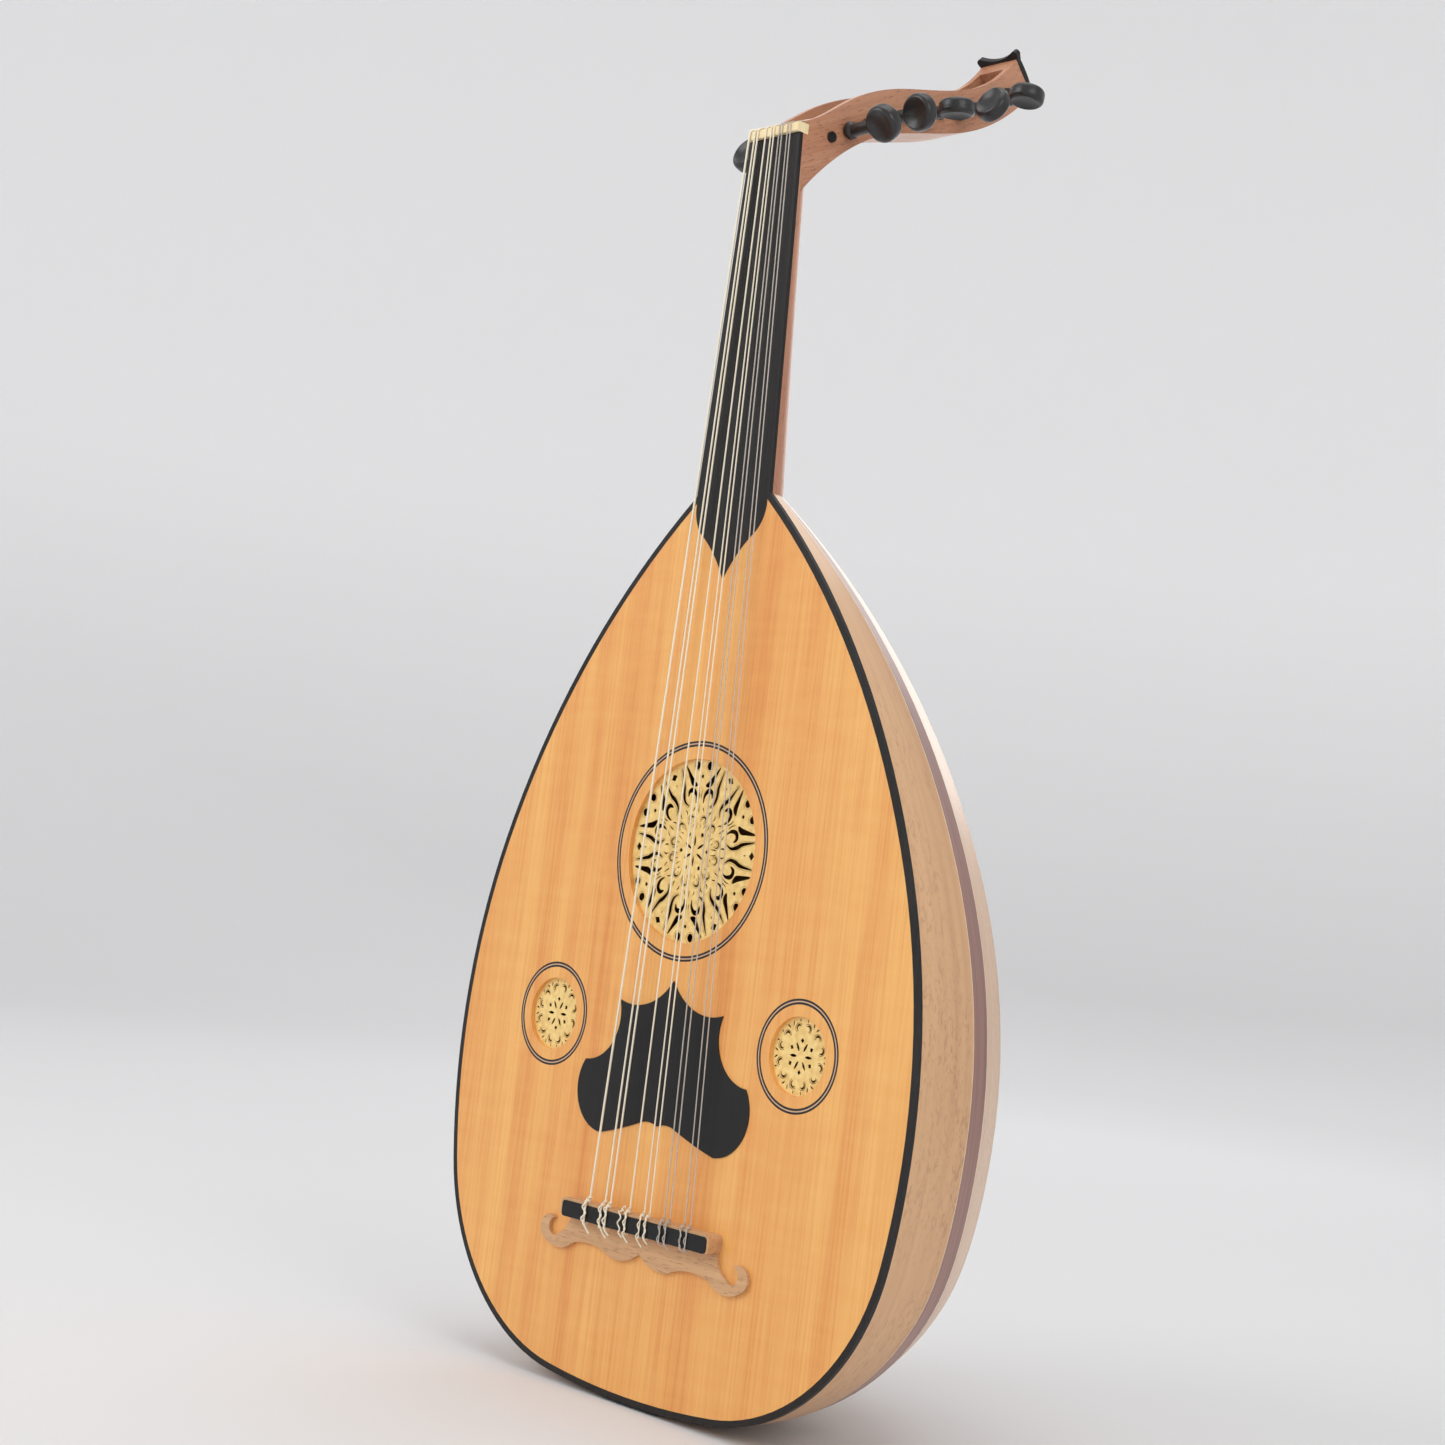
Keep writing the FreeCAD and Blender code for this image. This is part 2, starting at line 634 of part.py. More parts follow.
def make_cap():
    """Contoured plate over the end face, hanging over its edges, with raised corners at the top."""
    top, bottom = profile_point(PROFILE_TOP[-1]), profile_point(PROFILE_BOTTOM[-1])
    across = (bottom - top).normalize()
    outward = Vector(0, -across.z, across.y)
    half = pegbox_half_width(PROFILE_TOP[-1]) + CAP_OVERHANG
    foot = pegbox_half_width(PROFILE_BOTTOM[-1]) + CAP_OVERHANG
    start = top + across * -5.0
    end = bottom + across * 3.5
    edges = []
    for side in (1, -1):
        horn = start + Vector(side * half, 0, 0)
        waist = top + across * 2.0 + Vector(side * (half - 1.6), 0, 0)
        foot_corner = end + Vector(side * (foot - 3.5), 0, 0)
        flank = (waist + foot_corner) * 0.5 + Vector(side * 1.0, 0, 0)
        inner_horn = start + across * 0.4 + Vector(side * (half - 3.4), 0, 0)
        outer_horn = start + across * 2.8 + Vector(side * half, 0, 0)
        edges.append(three_point_arc(start + across * 3.2, start + across * 2.6 + Vector(side * 5.5, 0, 0),
                                     inner_horn))
        edges.append(three_point_arc(inner_horn, horn + across * 0.4 + Vector(side * -0.9, 0, 0), outer_horn))
        edges.append(Part.makeLine(outer_horn, waist))
        edges.append(three_point_arc(waist, flank, foot_corner))
        edges.append(three_point_arc(foot_corner, end + across * 1.2 + Vector(side * 5.5, 0, 0),
                                     end + across * 1.6))
    return face_of(edges).extrude(outward * CAP_THICKNESS)


# The pegs

def peg_cone(peg, clearance, overrun):
    """The peg's taper through the pegbox, grown by a clearance and run on at both ends."""
    back, up, side, turn = peg
    half = pegbox_half_width((back, up))
    length = 2 * half + 2 * overrun
    start = profile_point((back, up)) + Vector(side * (half + overrun), 0, 0)
    thick = PEG_RADIUS + clearance + overrun * PEG_TAPER
    return Part.makeCone(thick, thick - length * PEG_TAPER, length, start, Vector(-side, 0, 0))


def peg_radius_at(peg, x):
    """The shaft's radius where it crosses x."""
    back, up, side, turn = peg
    return PEG_RADIUS - (pegbox_half_width((back, up)) - side * x) * PEG_TAPER


def make_peg(peg):
    """Shaft, collar, stem and dished head; the head lies on +X and is turned over for the other side."""
    back, up, side, turn = peg
    half = pegbox_half_width((back, up))
    tip_radius = PEG_RADIUS - (2 * half + PEG_TIP) * PEG_TAPER
    head = half + PEG_HEAD_REACH
    profile = [(-half - PEG_TIP, 0), (-half - PEG_TIP, tip_radius), (half, PEG_RADIUS),
               (half + 1.0, PEG_RADIUS), (half + 1.8, PEG_COLLAR_RADIUS), (half + 3.8, PEG_COLLAR_RADIUS),
               (half + 5.0, PEG_RADIUS), (head - PEG_HEAD_RADIUS * 0.7, PEG_RADIUS * 1.05),
               (head - PEG_HEAD_RADIUS * 0.2, 2.0), (head - PEG_HEAD_RADIUS * 0.2, 0)]
    points = [Vector(x, 0, radius) for x, radius in profile]
    section = Part.Face(Part.makePolygon(points + [points[0]]))
    shaft = section.revolve(Vector(0, 0, 0), Vector(1, 0, 0), 360)
    solid = shaft.fuse(make_peg_head(head)).removeSplitter()
    solid.rotate(Vector(0, 0, 0), Vector(1, 0, 0), turn)
    if side < 0:
        solid.rotate(Vector(0, 0, 0), Vector(0, 0, 1), 180)
    solid.translate(profile_point((back, up)))
    return solid


def make_peg_head(reach):
    """Thick lens with dished faces, turned about Y."""
    thick, radius = PEG_HEAD_THICKNESS / 2, PEG_HEAD_RADIUS
    dish = Vector(radius * 0.1, thick * 0.56, 0)
    crest = Vector(radius * 0.8, thick, 0)
    rim = Vector(radius * 0.99, thick * 0.3, 0)
    half = [Part.makeLine(Vector(0, dish.y, 0), dish),
            three_point_arc(dish, Vector(radius * 0.45, thick * 0.66, 0), crest),
            three_point_arc(crest, Vector(radius * 0.93, thick * 0.78, 0), rim)]
    edges = half + [edge.mirror(Vector(0, 0, 0), Vector(0, 1, 0)) for edge in half]
    edges.append(three_point_arc(rim, Vector(radius, 0, 0), Vector(rim.x, -rim.y, 0)))
    edges.append(Part.makeLine(Vector(0, -dish.y, 0), Vector(0, dish.y, 0)))
    head = face_of(edges).revolve(Vector(0, 0, 0), Vector(0, 1, 0), 360)
    head.translate(Vector(reach, 0, 0))
    return head


# The strings

def strings():
    """Each string's radius, place on the bridge and the nut, and peg, from the bass to the treble."""
    bass_pegs = [peg for peg in PEG_PLACES if peg[2] < 0]
    treble_pegs = [peg for peg in PEG_PLACES if peg[2] > 0]
    count = sum(COURSES)
    listed = []
    for course, members in enumerate(COURSES):
        for member in range(members):
            place = course - (len(COURSES) - 1) / 2
            split = (member - 0.5) if members == 2 else 0.0
            single = SINGLE_SHIFT if members == 1 else 0.0
            number = len(listed)
            from_treble = count - 1 - number
            peg = bass_pegs[number] if number < len(bass_pegs) else treble_pegs[from_treble]
            bridge_x = BRIDGE_SHIFT + place * BRIDGE_COURSE_PITCH + split * BRIDGE_PAIR_GAP + single
            nut_x = NUT_SHIFT + place * NUT_COURSE_PITCH + split * NUT_PAIR_GAP + single
            listed.append({"course": course, "radius": GAUGES[course], "peg": peg,
                           "bridge_x": bridge_x, "nut_x": nut_x})
    return listed


def peg_end(string, start):
    """Where the string's centre line meets its peg's upper side, above the turns wound on it."""
    peg = string["peg"]
    centre = profile_point((peg[0], peg[1]))
    inner = pegbox_half_width((peg[0], peg[1])) - CHEEK_THICKNESS
    x = string["nut_x"] / (NECK_HEAD_WIDTH / 2) * inner * STRING_SPREAD
    reach = peg_radius_at(peg, x) + string["radius"] + WINDING_HEIGHT
    run = centre - Vector(0, start.y, start.z)
    distance = math.hypot(run.y, run.z)
    lift = math.atan2(run.z, run.y) + math.asin(reach / distance)
    length = math.sqrt(distance ** 2 - reach ** 2)
    return Vector(x, start.y + length * math.cos(lift), start.z + length * math.sin(lift))


def string_points(string):
    """The string's centre line: tied round the bridge, up to the nut, over it and back to the peg."""
    radius = string["radius"]
    over = BRIDGE_BAR_HEIGHT + TIE_PLATE_THICKNESS + radius + STRING_CLEARANCE / 3
    margin = radius + STRING_CLEARANCE / 3
    x = string["bridge_x"]
    bend = (NUT_ROUND + radius + GLUE_GAP) / math.cos(math.pi / 8)
    centre = Vector(string["nut_x"], NUT_ROUND - NUT_HEIGHT, nut_place + NUT_THICKNESS - NUT_ROUND)
    points = [Vector(x, -over + 0.9, BRIDGE_PLACE + margin + 1.2), Vector(x, -over, BRIDGE_PLACE + margin),
              Vector(x, -over, tie_low - margin), Vector(x, -BRIDGE_STRING_HEIGHT, tie_low - margin),
              Vector(x, -BRIDGE_STRING_HEIGHT, BRIDGE_PLACE + margin)]
    for angle in (22.5, 67.5):
        turn = math.radians(angle)
        points.append(centre + Vector(0, -bend * math.cos(turn), bend * math.sin(turn)))
    points.append(peg_end(string, points[-1]))
    return points


def string_relief(string):
    """Groove that lets a string down past a cheek's inner edge."""
    points = string_points(string)
    start, end = points[-2], points[-1]
    return Part.makeCylinder(string["radius"] + STRING_CLEARANCE, (end - start).Length, start, end - start)


def round_wire(points, radius):
    """Round rod along straight runs, mitred at each bend."""
    start = Part.Wire(Part.makeCircle(radius, points[0], points[1] - points[0]))
    return Part.makePolygon(points).makePipeShell([start], True, False, 1)


def make_course(course):
    members = [string for string in strings() if string["course"] == course]
    return Part.makeCompound([round_wire(string_points(string), string["radius"]) for string in members])


def make_all():
    nut = make_nut()
    fingerboard = make_fingerboard()
    left_cheek, right_cheek = make_cheeks(nut, fingerboard)
    nodes = {"rib_%02d" % (number + 1): rib for number, rib in enumerate(make_ribs())}
    nodes.update({
        "rib_fillets": make_rib_fillets(),
        "tail_cap": make_tail_cap(),
        "tail_block": make_tail_block(),
        "neck_block": make_neck_block(),
        "soundboard": make_soundboard(),
        "soundboard_braces": make_braces(),
        "edge_binding": make_binding(),
        "pickguard": make_pickguard(),
        "bridge": make_bridge(),
        "bridge_tie_plate": make_tie_plate(),
        "neck": make_neck(),
        "fingerboard": fingerboard,
        "nut": nut,
        "pegbox_left_cheek": left_cheek,
        "pegbox_right_cheek": right_cheek,
        "pegbox_back": make_pegbox_back(fingerboard),
        "pegbox_end_block": make_end_block(),
        "pegbox_cap": make_cap(),
    })
    for name, x, z, hole, ring in ROSES:
        nodes[name + "_rosette"] = make_rosette(x, z, hole)
        nodes[name + "_rosette_ring"] = ring_solid(ring, x, z)
    for number, peg in enumerate(PEG_PLACES):
        nodes["peg_%02d" % (number + 1)] = make_peg(peg)
    for course in range(len(COURSES)):
        nodes["course_%d" % (course + 1)] = make_course(course)
    return nodes


os.makedirs("parts", exist_ok=True)
for node, shape in make_all().items():
    shape.exportStep("parts/%s.step" % node)
    print(node, len(shape.Solids), "solids", round(shape.Volume / 1000, 2), "cm3", shape.isValid())
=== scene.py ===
import bmesh
import bpy
import json
import math
from mathutils import Matrix, Vector


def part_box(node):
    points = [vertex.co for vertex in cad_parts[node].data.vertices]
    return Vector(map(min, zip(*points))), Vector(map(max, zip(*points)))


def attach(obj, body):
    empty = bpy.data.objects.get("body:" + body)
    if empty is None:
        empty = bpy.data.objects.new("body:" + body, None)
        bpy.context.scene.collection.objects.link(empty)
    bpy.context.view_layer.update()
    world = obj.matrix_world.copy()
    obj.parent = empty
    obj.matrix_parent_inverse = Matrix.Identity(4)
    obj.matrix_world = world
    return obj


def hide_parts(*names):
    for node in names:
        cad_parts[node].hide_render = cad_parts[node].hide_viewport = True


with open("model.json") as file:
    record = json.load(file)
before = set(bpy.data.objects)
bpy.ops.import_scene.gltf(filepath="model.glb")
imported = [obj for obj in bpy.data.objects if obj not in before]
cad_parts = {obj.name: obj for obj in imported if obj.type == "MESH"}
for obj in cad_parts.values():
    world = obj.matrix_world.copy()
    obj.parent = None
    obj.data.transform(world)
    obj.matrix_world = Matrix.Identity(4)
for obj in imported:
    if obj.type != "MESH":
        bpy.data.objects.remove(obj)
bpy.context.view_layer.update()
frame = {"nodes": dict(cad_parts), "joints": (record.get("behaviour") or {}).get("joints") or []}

nodes, joints = frame["nodes"], frame["joints"]
scene = bpy.context.scene
scene.view_settings.view_transform = "Standard"


# Room: a pale studio floor that sweeps up into a round wall, so that no horizon shows, lit by
# large soft boxes, its paper also glowing more the higher it is, as painted light. None of it belongs to the
# instrument.
def srgb(red, green, blue):
    """Linear colour of an 8-bit paint chip."""
    channels = [value / 255 for value in (red, green, blue)]
    return [c / 12.92 if c <= 0.04045 else ((c + 0.055) / 1.055) ** 2.4 for c in channels] + [1.0]


def new_material(name, roughness=0.5):
    """Material with its node tree and its Principled shader."""
    material = bpy.data.materials.new(name)
    material.use_nodes = True
    shader = material.node_tree.nodes["Principled BSDF"]
    shader.inputs["Roughness"].default_value = roughness
    return material, material.node_tree, shader


def finished_mesh(name, bm, material, smooth=True):
    """Object at the origin from a bmesh, with its normals facing out."""
    bmesh.ops.recalc_face_normals(bm, faces=bm.faces)
    mesh = bpy.data.meshes.new(name)
    bm.to_mesh(mesh)
    bm.free()
    mesh.materials.append(material)
    for polygon in mesh.polygons:
        polygon.use_smooth = smooth
    piece = bpy.data.objects.new(name, mesh)
    scene.collection.objects.link(piece)
    return piece


floor_drop = 0.0015
backdrop_paint, tree, shader = new_material("studio_paper", 0.9)
mottle = tree.nodes.new("ShaderNodeTexNoise")
mottle.inputs["Scale"].default_value = 3.0
paper_tone = tree.nodes.new("ShaderNodeValToRGB")
paper_tone.color_ramp.elements[0].color = srgb(221, 221, 222)
paper_tone.color_ramp.elements[1].color = srgb(225, 225, 226)
tree.links.new(mottle.outputs["Fac"], paper_tone.inputs["Fac"])
tree.links.new(paper_tone.outputs["Color"], shader.inputs["Base Color"])
shader.inputs["Specular IOR Level"].default_value = 0.1
# Painted light: the paper glows, from nothing at the floor to a strength of 0.17 at 1.1 m up, so the wall brightens
# towards the top by its own glow rather than by a lamp.
paper_place = tree.nodes.new("ShaderNodeTexCoord")
paper_height = tree.nodes.new("ShaderNodeSeparateXYZ")
paper_glow = tree.nodes.new("ShaderNodeMapRange")
paper_glow.inputs["From Min"].default_value = 0.0
paper_glow.inputs["From Max"].default_value = 1.1
paper_glow.inputs["To Min"].default_value = 0.0
paper_glow.inputs["To Max"].default_value = 0.17
tree.links.new(paper_place.outputs["Object"], paper_height.inputs[0])
tree.links.new(paper_height.outputs["Z"], paper_glow.inputs["Value"])
tree.links.new(paper_glow.outputs[0], shader.inputs["Emission Strength"])
shader.inputs["Emission Color"].default_value = (1, 1, 1, 1)
bm = bmesh.new()
sweep = [(0.0, 0.0), (2.6, 0.0)]
sweep += [(2.6 + 1.4 * math.sin(turn), 1.4 - 1.4 * math.cos(turn))
          for turn in (math.pi / 16 * step for step in range(1, 9))]
sweep += [(4.0, 3.6)]
rim = [bm.verts.new((reach, 0.0, height - floor_drop)) for reach, height in sweep]
profile = [bm.edges.new(pair) for pair in zip(rim, rim[1:])]
bmesh.ops.spin(bm, geom=rim + profile, cent=(0, 0, 0), axis=(0, 0, 1), angle=2 * math.pi, steps=96,
               use_merge=True)
bmesh.ops.remove_doubles(bm, verts=bm.verts, dist=1e-5)
bmesh.ops.reverse_faces(bm, faces=bm.faces)
studio = finished_mesh("studio_sweep", bm, backdrop_paint)

camera_data = bpy.data.cameras.new("camera")
camera_data.lens = 58.7
camera_data.sensor_width = 36.0
camera = bpy.data.objects.new("camera", camera_data)
scene.collection.objects.link(camera)
camera_turn, camera_rise, camera_roll = math.radians(47.26), math.radians(-4.57), math.radians(6.76)
back_axis = Vector((math.sin(camera_turn) * math.cos(camera_rise),
                    -math.cos(camera_turn) * math.cos(camera_rise), math.sin(camera_rise)))
level_axis = Vector((0, 0, 1)).cross(back_axis).normalized()
rise_axis = back_axis.cross(level_axis)
right_axis = level_axis * math.cos(camera_roll) + rise_axis * math.sin(camera_roll)
up_axis = rise_axis * math.cos(camera_roll) - level_axis * math.sin(camera_roll)
stance = Matrix((right_axis, up_axis, back_axis)).transposed().to_4x4()
camera.matrix_world = Matrix.Translation((0.9271, -0.8444, 0.2601)) @ stance
scene.camera = camera


def soft_box(name, place, aim, width, power):
    """Square area light turned to face a point."""
    lamp = bpy.data.lights.new(name, "AREA")
    lamp.size = width
    lamp.energy = power
    box = bpy.data.objects.new(name, lamp)
    scene.collection.objects.link(box)
    box.location = place
    box.rotation_euler = (Vector(aim) - Vector(place)).to_track_quat("-Z", "Y").to_euler()


soft_box("front_light", (-0.9, -2.3, 1.7), (0.0, 0.0, 0.4), 1.6, 23)
soft_box("side_light", (2.3, -0.5, 1.3), (0.0, 0.05, 0.35), 1.4, 11)
soft_box("top_light", (0.2, -0.2, 3.2), (0.0, 0.0, 0.4), 2.4, 26)
soft_box("back_light", (-1.4, 2.2, 1.6), (0.0, 0.1, 0.4), 1.8, 12)
world = bpy.data.worlds.new("studio_air")
world.use_nodes = True
world.node_tree.nodes["Background"].inputs["Color"].default_value = (1, 1, 1, 1)
world.node_tree.nodes["Background"].inputs["Strength"].default_value = 0.55
scene.world = world


# Soundboard: quarter-sawn spruce under thin varnish, its straight grain running from tail to neck,
# with warmer streaks and a faint silk across the grain. Glued on the ribs and the two end blocks.
def dressed(name, *materials):
    """Gives a CAD node its materials and smooth shading, with its sharp edges kept."""
    piece = nodes[name]
    piece.data.materials.clear()
    for material in materials:
        piece.data.materials.append(material)
    for polygon in piece.data.polygons:
        polygon.use_smooth = True
    weld = piece.modifiers.new("weld", "WELD")
    weld.merge_threshold = 2e-6
    crisp = piece.modifiers.new("crisp", "EDGE_SPLIT")
    crisp.split_angle = math.radians(28)
    return piece


def group_shell(name, inputs, outputs):
    """Empty shader group with named sockets, and its input and output nodes."""
    group = bpy.data.node_groups.new(name, "ShaderNodeTree")
    for label, kind, value in inputs:
        socket = group.interface.new_socket(label, in_out="INPUT", socket_type="NodeSocket" + kind)
        if value is not None:
            socket.default_value = value
    for label, kind in outputs:
        group.interface.new_socket(label, in_out="OUTPUT", socket_type="NodeSocket" + kind)
    return group, group.nodes.new("NodeGroupInput"), group.nodes.new("NodeGroupOutput")


grain, taken, given = group_shell(
    "long_grain",
    [("Vector", "Vector", None), ("Light", "Color", (0.8, 0.6, 0.4, 1)), ("Dark", "Color", (0.5, 0.3, 0.2, 1)),
     ("Line Scale", "Float", 300.0), ("Streak Scale", "Float", 30.0), ("Line Depth", "Float", 0.4),
     ("Streak Depth", "Float", 0.6)],
    [("Color", "Color"), ("Height", "Float")])
stretch = grain.nodes.new("ShaderNodeVectorMath")
stretch.operation = "MULTIPLY"
stretch.inputs[1].default_value = (1.0, 1.0, 0.018)
grain.links.new(taken.outputs["Vector"], stretch.inputs[0])
fine = grain.nodes.new("ShaderNodeTexNoise")
fine.inputs["Detail"].default_value = 3.0
fine.inputs["Distortion"].default_value = 0.15
grain.links.new(stretch.outputs[0], fine.inputs["Vector"])
grain.links.new(taken.outputs["Line Scale"], fine.inputs["Scale"])
line_edge = grain.nodes.new("ShaderNodeMapRange")
line_edge.inputs["From Min"].default_value = 0.42
line_edge.inputs["From Max"].default_value = 0.66
grain.links.new(fine.outputs["Fac"], line_edge.inputs["Value"])
streak = grain.nodes.new("ShaderNodeTexNoise")
streak.inputs["Detail"].default_value = 2.0
grain.links.new(stretch.outputs[0], streak.inputs["Vector"])
grain.links.new(taken.outputs["Streak Scale"], streak.inputs["Scale"])
streak_edge = grain.nodes.new("ShaderNodeMapRange")
streak_edge.inputs["From Min"].default_value = 0.38
streak_edge.inputs["From Max"].default_value = 0.7
grain.links.new(streak.outputs["Fac"], streak_edge.inputs["Value"])
line_weight = grain.nodes.new("ShaderNodeMath")
line_weight.operation = "MULTIPLY"
grain.links.new(line_edge.outputs[0], line_weight.inputs[0])
grain.links.new(taken.outputs["Line Depth"], line_weight.inputs[1])
streak_weight = grain.nodes.new("ShaderNodeMath")
streak_weight.operation = "MULTIPLY"
grain.links.new(streak_edge.outputs[0], streak_weight.inputs[0])
grain.links.new(taken.outputs["Streak Depth"], streak_weight.inputs[1])
both = grain.nodes.new("ShaderNodeMath")
both.use_clamp = True
grain.links.new(line_weight.outputs[0], both.inputs[0])
grain.links.new(streak_weight.outputs[0], both.inputs[1])
tone = grain.nodes.new("ShaderNodeMix")
tone.data_type = "RGBA"
grain.links.new(both.outputs[0], tone.inputs["Factor"])
grain.links.new(taken.outputs["Light"], tone.inputs["A"])
grain.links.new(taken.outputs["Dark"], tone.inputs["B"])
grain.links.new(tone.outputs["Result"], given.inputs["Color"])
grain.links.new(line_edge.outputs[0], given.inputs["Height"])


def wood(name, light, dark, roughness, line_scale, streak_scale, line_depth, streak_depth, turn=(0, 0, 0),
         relief=0.00004, coat=0.0):
    """Wood with its grain along Z, or along another way when turned."""
    material, tree, shader = new_material(name, roughness)
    place = tree.nodes.new("ShaderNodeTexCoord")
    lay = tree.nodes.new("ShaderNodeMapping")
    lay.inputs["Rotation"].default_value = [math.radians(angle) for angle in turn]
    figure = tree.nodes.new("ShaderNodeGroup")
    figure.node_tree = grain
    figure.inputs["Light"].default_value = light
    figure.inputs["Dark"].default_value = dark
    figure.inputs["Line Scale"].default_value = line_scale
    figure.inputs["Streak Scale"].default_value = streak_scale
    figure.inputs["Line Depth"].default_value = line_depth
    figure.inputs["Streak Depth"].default_value = streak_depth
    sink = tree.nodes.new("ShaderNodeBump")
    sink.inputs["Strength"].default_value = 0.35
    sink.inputs["Distance"].default_value = relief
    sink.invert = True
    tree.links.new(place.outputs["Object"], lay.inputs["Vector"])
    tree.links.new(lay.outputs["Vector"], figure.inputs["Vector"])
    tree.links.new(figure.outputs["Color"], shader.inputs["Base Color"])
    tree.links.new(figure.outputs["Height"], sink.inputs["Height"])
    tree.links.new(sink.outputs["Normal"], shader.inputs["Normal"])
    shader.inputs["Coat Weight"].default_value = coat
    shader.inputs["Coat Roughness"].default_value = 0.18
    return material, tree, shader, figure, lay


spruce, tree, shader, figure, lay = wood("spruce_top", srgb(245, 184, 104), srgb(222, 140, 68), 0.46, 620, 42,
                                         0.34, 0.62, coat=0.12)
silk = tree.nodes.new("ShaderNodeTexNoise")
silk.inputs["Scale"].default_value = 60.0
silk.inputs["Detail"].default_value = 4.0
silk_stretch = tree.nodes.new("ShaderNodeMapping")
silk_stretch.inputs["Scale"].default_value = (0.5, 1.0, 2.2)
silk_tint = tree.nodes.new("ShaderNodeMix")
silk_tint.data_type = "RGBA"
silk_tint.blend_type = "SOFT_LIGHT"
silk_tint.inputs["Factor"].default_value = 0.22
tree.links.new(lay.outputs["Vector"], silk_stretch.inputs["Vector"])
tree.links.new(silk_stretch.outputs["Vector"], silk.inputs["Vector"])
tree.links.new(figure.outputs["Color"], silk_tint.inputs["A"])
tree.links.new(silk.outputs["Fac"], silk_tint.inputs["B"])
tree.links.new(silk_tint.outputs["Result"], shader.inputs["Base Color"])
dressed("soundboard", spruce)
raw_spruce = wood("raw_spruce", srgb(232, 205, 160), srgb(205, 165, 112), 0.75, 520, 40, 0.4, 0.4)[0]
dressed("soundboard_braces", raw_spruce)
for name in ("tail_block", "neck_block"):
    dressed(name, raw_spruce)


# Bowl: bent ribs glued edge to edge, wide pale lacewood ones between narrow red-brown ones, with a
# pale strip in each seam. Their grain follows each rib from tail to neck.
def around_bowl(tree, lay):
    """Vector that runs round the bowl in X and up it in Z, so that a figure bends with the ribs."""
    parts = tree.nodes.new("ShaderNodeSeparateXYZ")
    angle = tree.nodes.new("ShaderNodeMath")
    angle.operation = "ARCTAN2"
    reach = tree.nodes.new("ShaderNodeMath")
    reach.operation = "MULTIPLY"
    reach.inputs[1].default_value = 0.13
    joined = tree.nodes.new("ShaderNodeCombineXYZ")
    tree.links.new(lay.outputs["Vector"], parts.inputs[0])
    tree.links.new(parts.outputs["Y"], angle.inputs[0])
    tree.links.new(parts.outputs["X"], angle.inputs[1])
    tree.links.new(angle.outputs[0], reach.inputs[0])
    tree.links.new(reach.outputs[0], joined.inputs["X"])
    tree.links.new(parts.outputs["Z"], joined.inputs["Z"])
    return joined


lacewood, tree, shader, figure, lay = wood("pale_lacewood", srgb(220, 172, 122), srgb(186, 134, 88), 0.38, 260,
                                           34, 0.22, 0.5, coat=0.45)
bowl_way = around_bowl(tree, lay)
tree.links.new(bowl_way.outputs[0], figure.inputs["Vector"])
fleck_stretch = tree.nodes.new("ShaderNodeMapping")
fleck_stretch.inputs["Scale"].default_value = (1.0, 1.0, 0.34)
fleck_stretch.inputs["Rotation"].default_value = (0, math.radians(12), 0)
fleck = tree.nodes.new("ShaderNodeTexNoise")
fleck.inputs["Scale"].default_value = 420.0
fleck.inputs["Detail"].default_value = 3.0
fleck.inputs["Distortion"].default_value = 1.6
fleck_patch = tree.nodes.new("ShaderNodeTexNoise")
fleck_patch.inputs["Scale"].default_value = 16.0
fleck_edge = tree.nodes.new("ShaderNodeMapRange")
fleck_edge.inputs["From Min"].default_value = 0.5
fleck_edge.inputs["From Max"].default_value = 0.68
patch_edge = tree.nodes.new("ShaderNodeMapRange")
patch_edge.inputs["From Min"].default_value = 0.36
patch_edge.inputs["From Max"].default_value = 0.6
patch_edge.inputs["To Max"].default_value = 0.55
fleck_weight = tree.nodes.new("ShaderNodeMath")
fleck_weight.operation = "MULTIPLY"
fleck_tint = tree.nodes.new("ShaderNodeMix")
fleck_tint.data_type = "RGBA"
fleck_tint.inputs["B"].default_value = srgb(160, 108, 68)
tree.links.new(bowl_way.outputs[0], fleck_stretch.inputs["Vector"])
tree.links.new(fleck_stretch.outputs["Vector"], fleck.inputs["Vector"])
tree.links.new(bowl_way.outputs[0], fleck_patch.inputs["Vector"])
tree.links.new(fleck.outputs["Fac"], fleck_edge.inputs["Value"])
tree.links.new(fleck_patch.outputs["Fac"], patch_edge.inputs["Value"])
tree.links.new(fleck_edge.outputs[0], fleck_weight.inputs[0])
tree.links.new(patch_edge.outputs[0], fleck_weight.inputs[1])
tree.links.new(fleck_weight.outputs[0], fleck_tint.inputs["Factor"])
tree.links.new(figure.outputs["Color"], fleck_tint.inputs["A"])
tree.links.new(fleck_tint.outputs["Result"], shader.inputs["Base Color"])

padauk, tree, shader, figure, lay = wood("red_brown_rib", srgb(146, 80, 54), srgb(96, 45, 29), 0.36, 480, 60, 0.55,
                                         0.5, coat=0.45)
tree.links.new(around_bowl(tree, lay).outputs[0], figure.inputs["Vector"])
maple_strip, tree, shader, figure, lay = wood("maple_strip", srgb(247, 226, 190), srgb(226, 196, 150), 0.4, 500, 50,
                                              0.3, 0.3, coat=0.4)
tree.links.new(around_bowl(tree, lay).outputs[0], figure.inputs["Vector"])
for number in range(1, 16):
    name = "rib_%02d" % number
    brown = number % 2 == 0
    dressed(name, padauk if brown else lacewood)
dressed("rib_fillets", maple_strip)


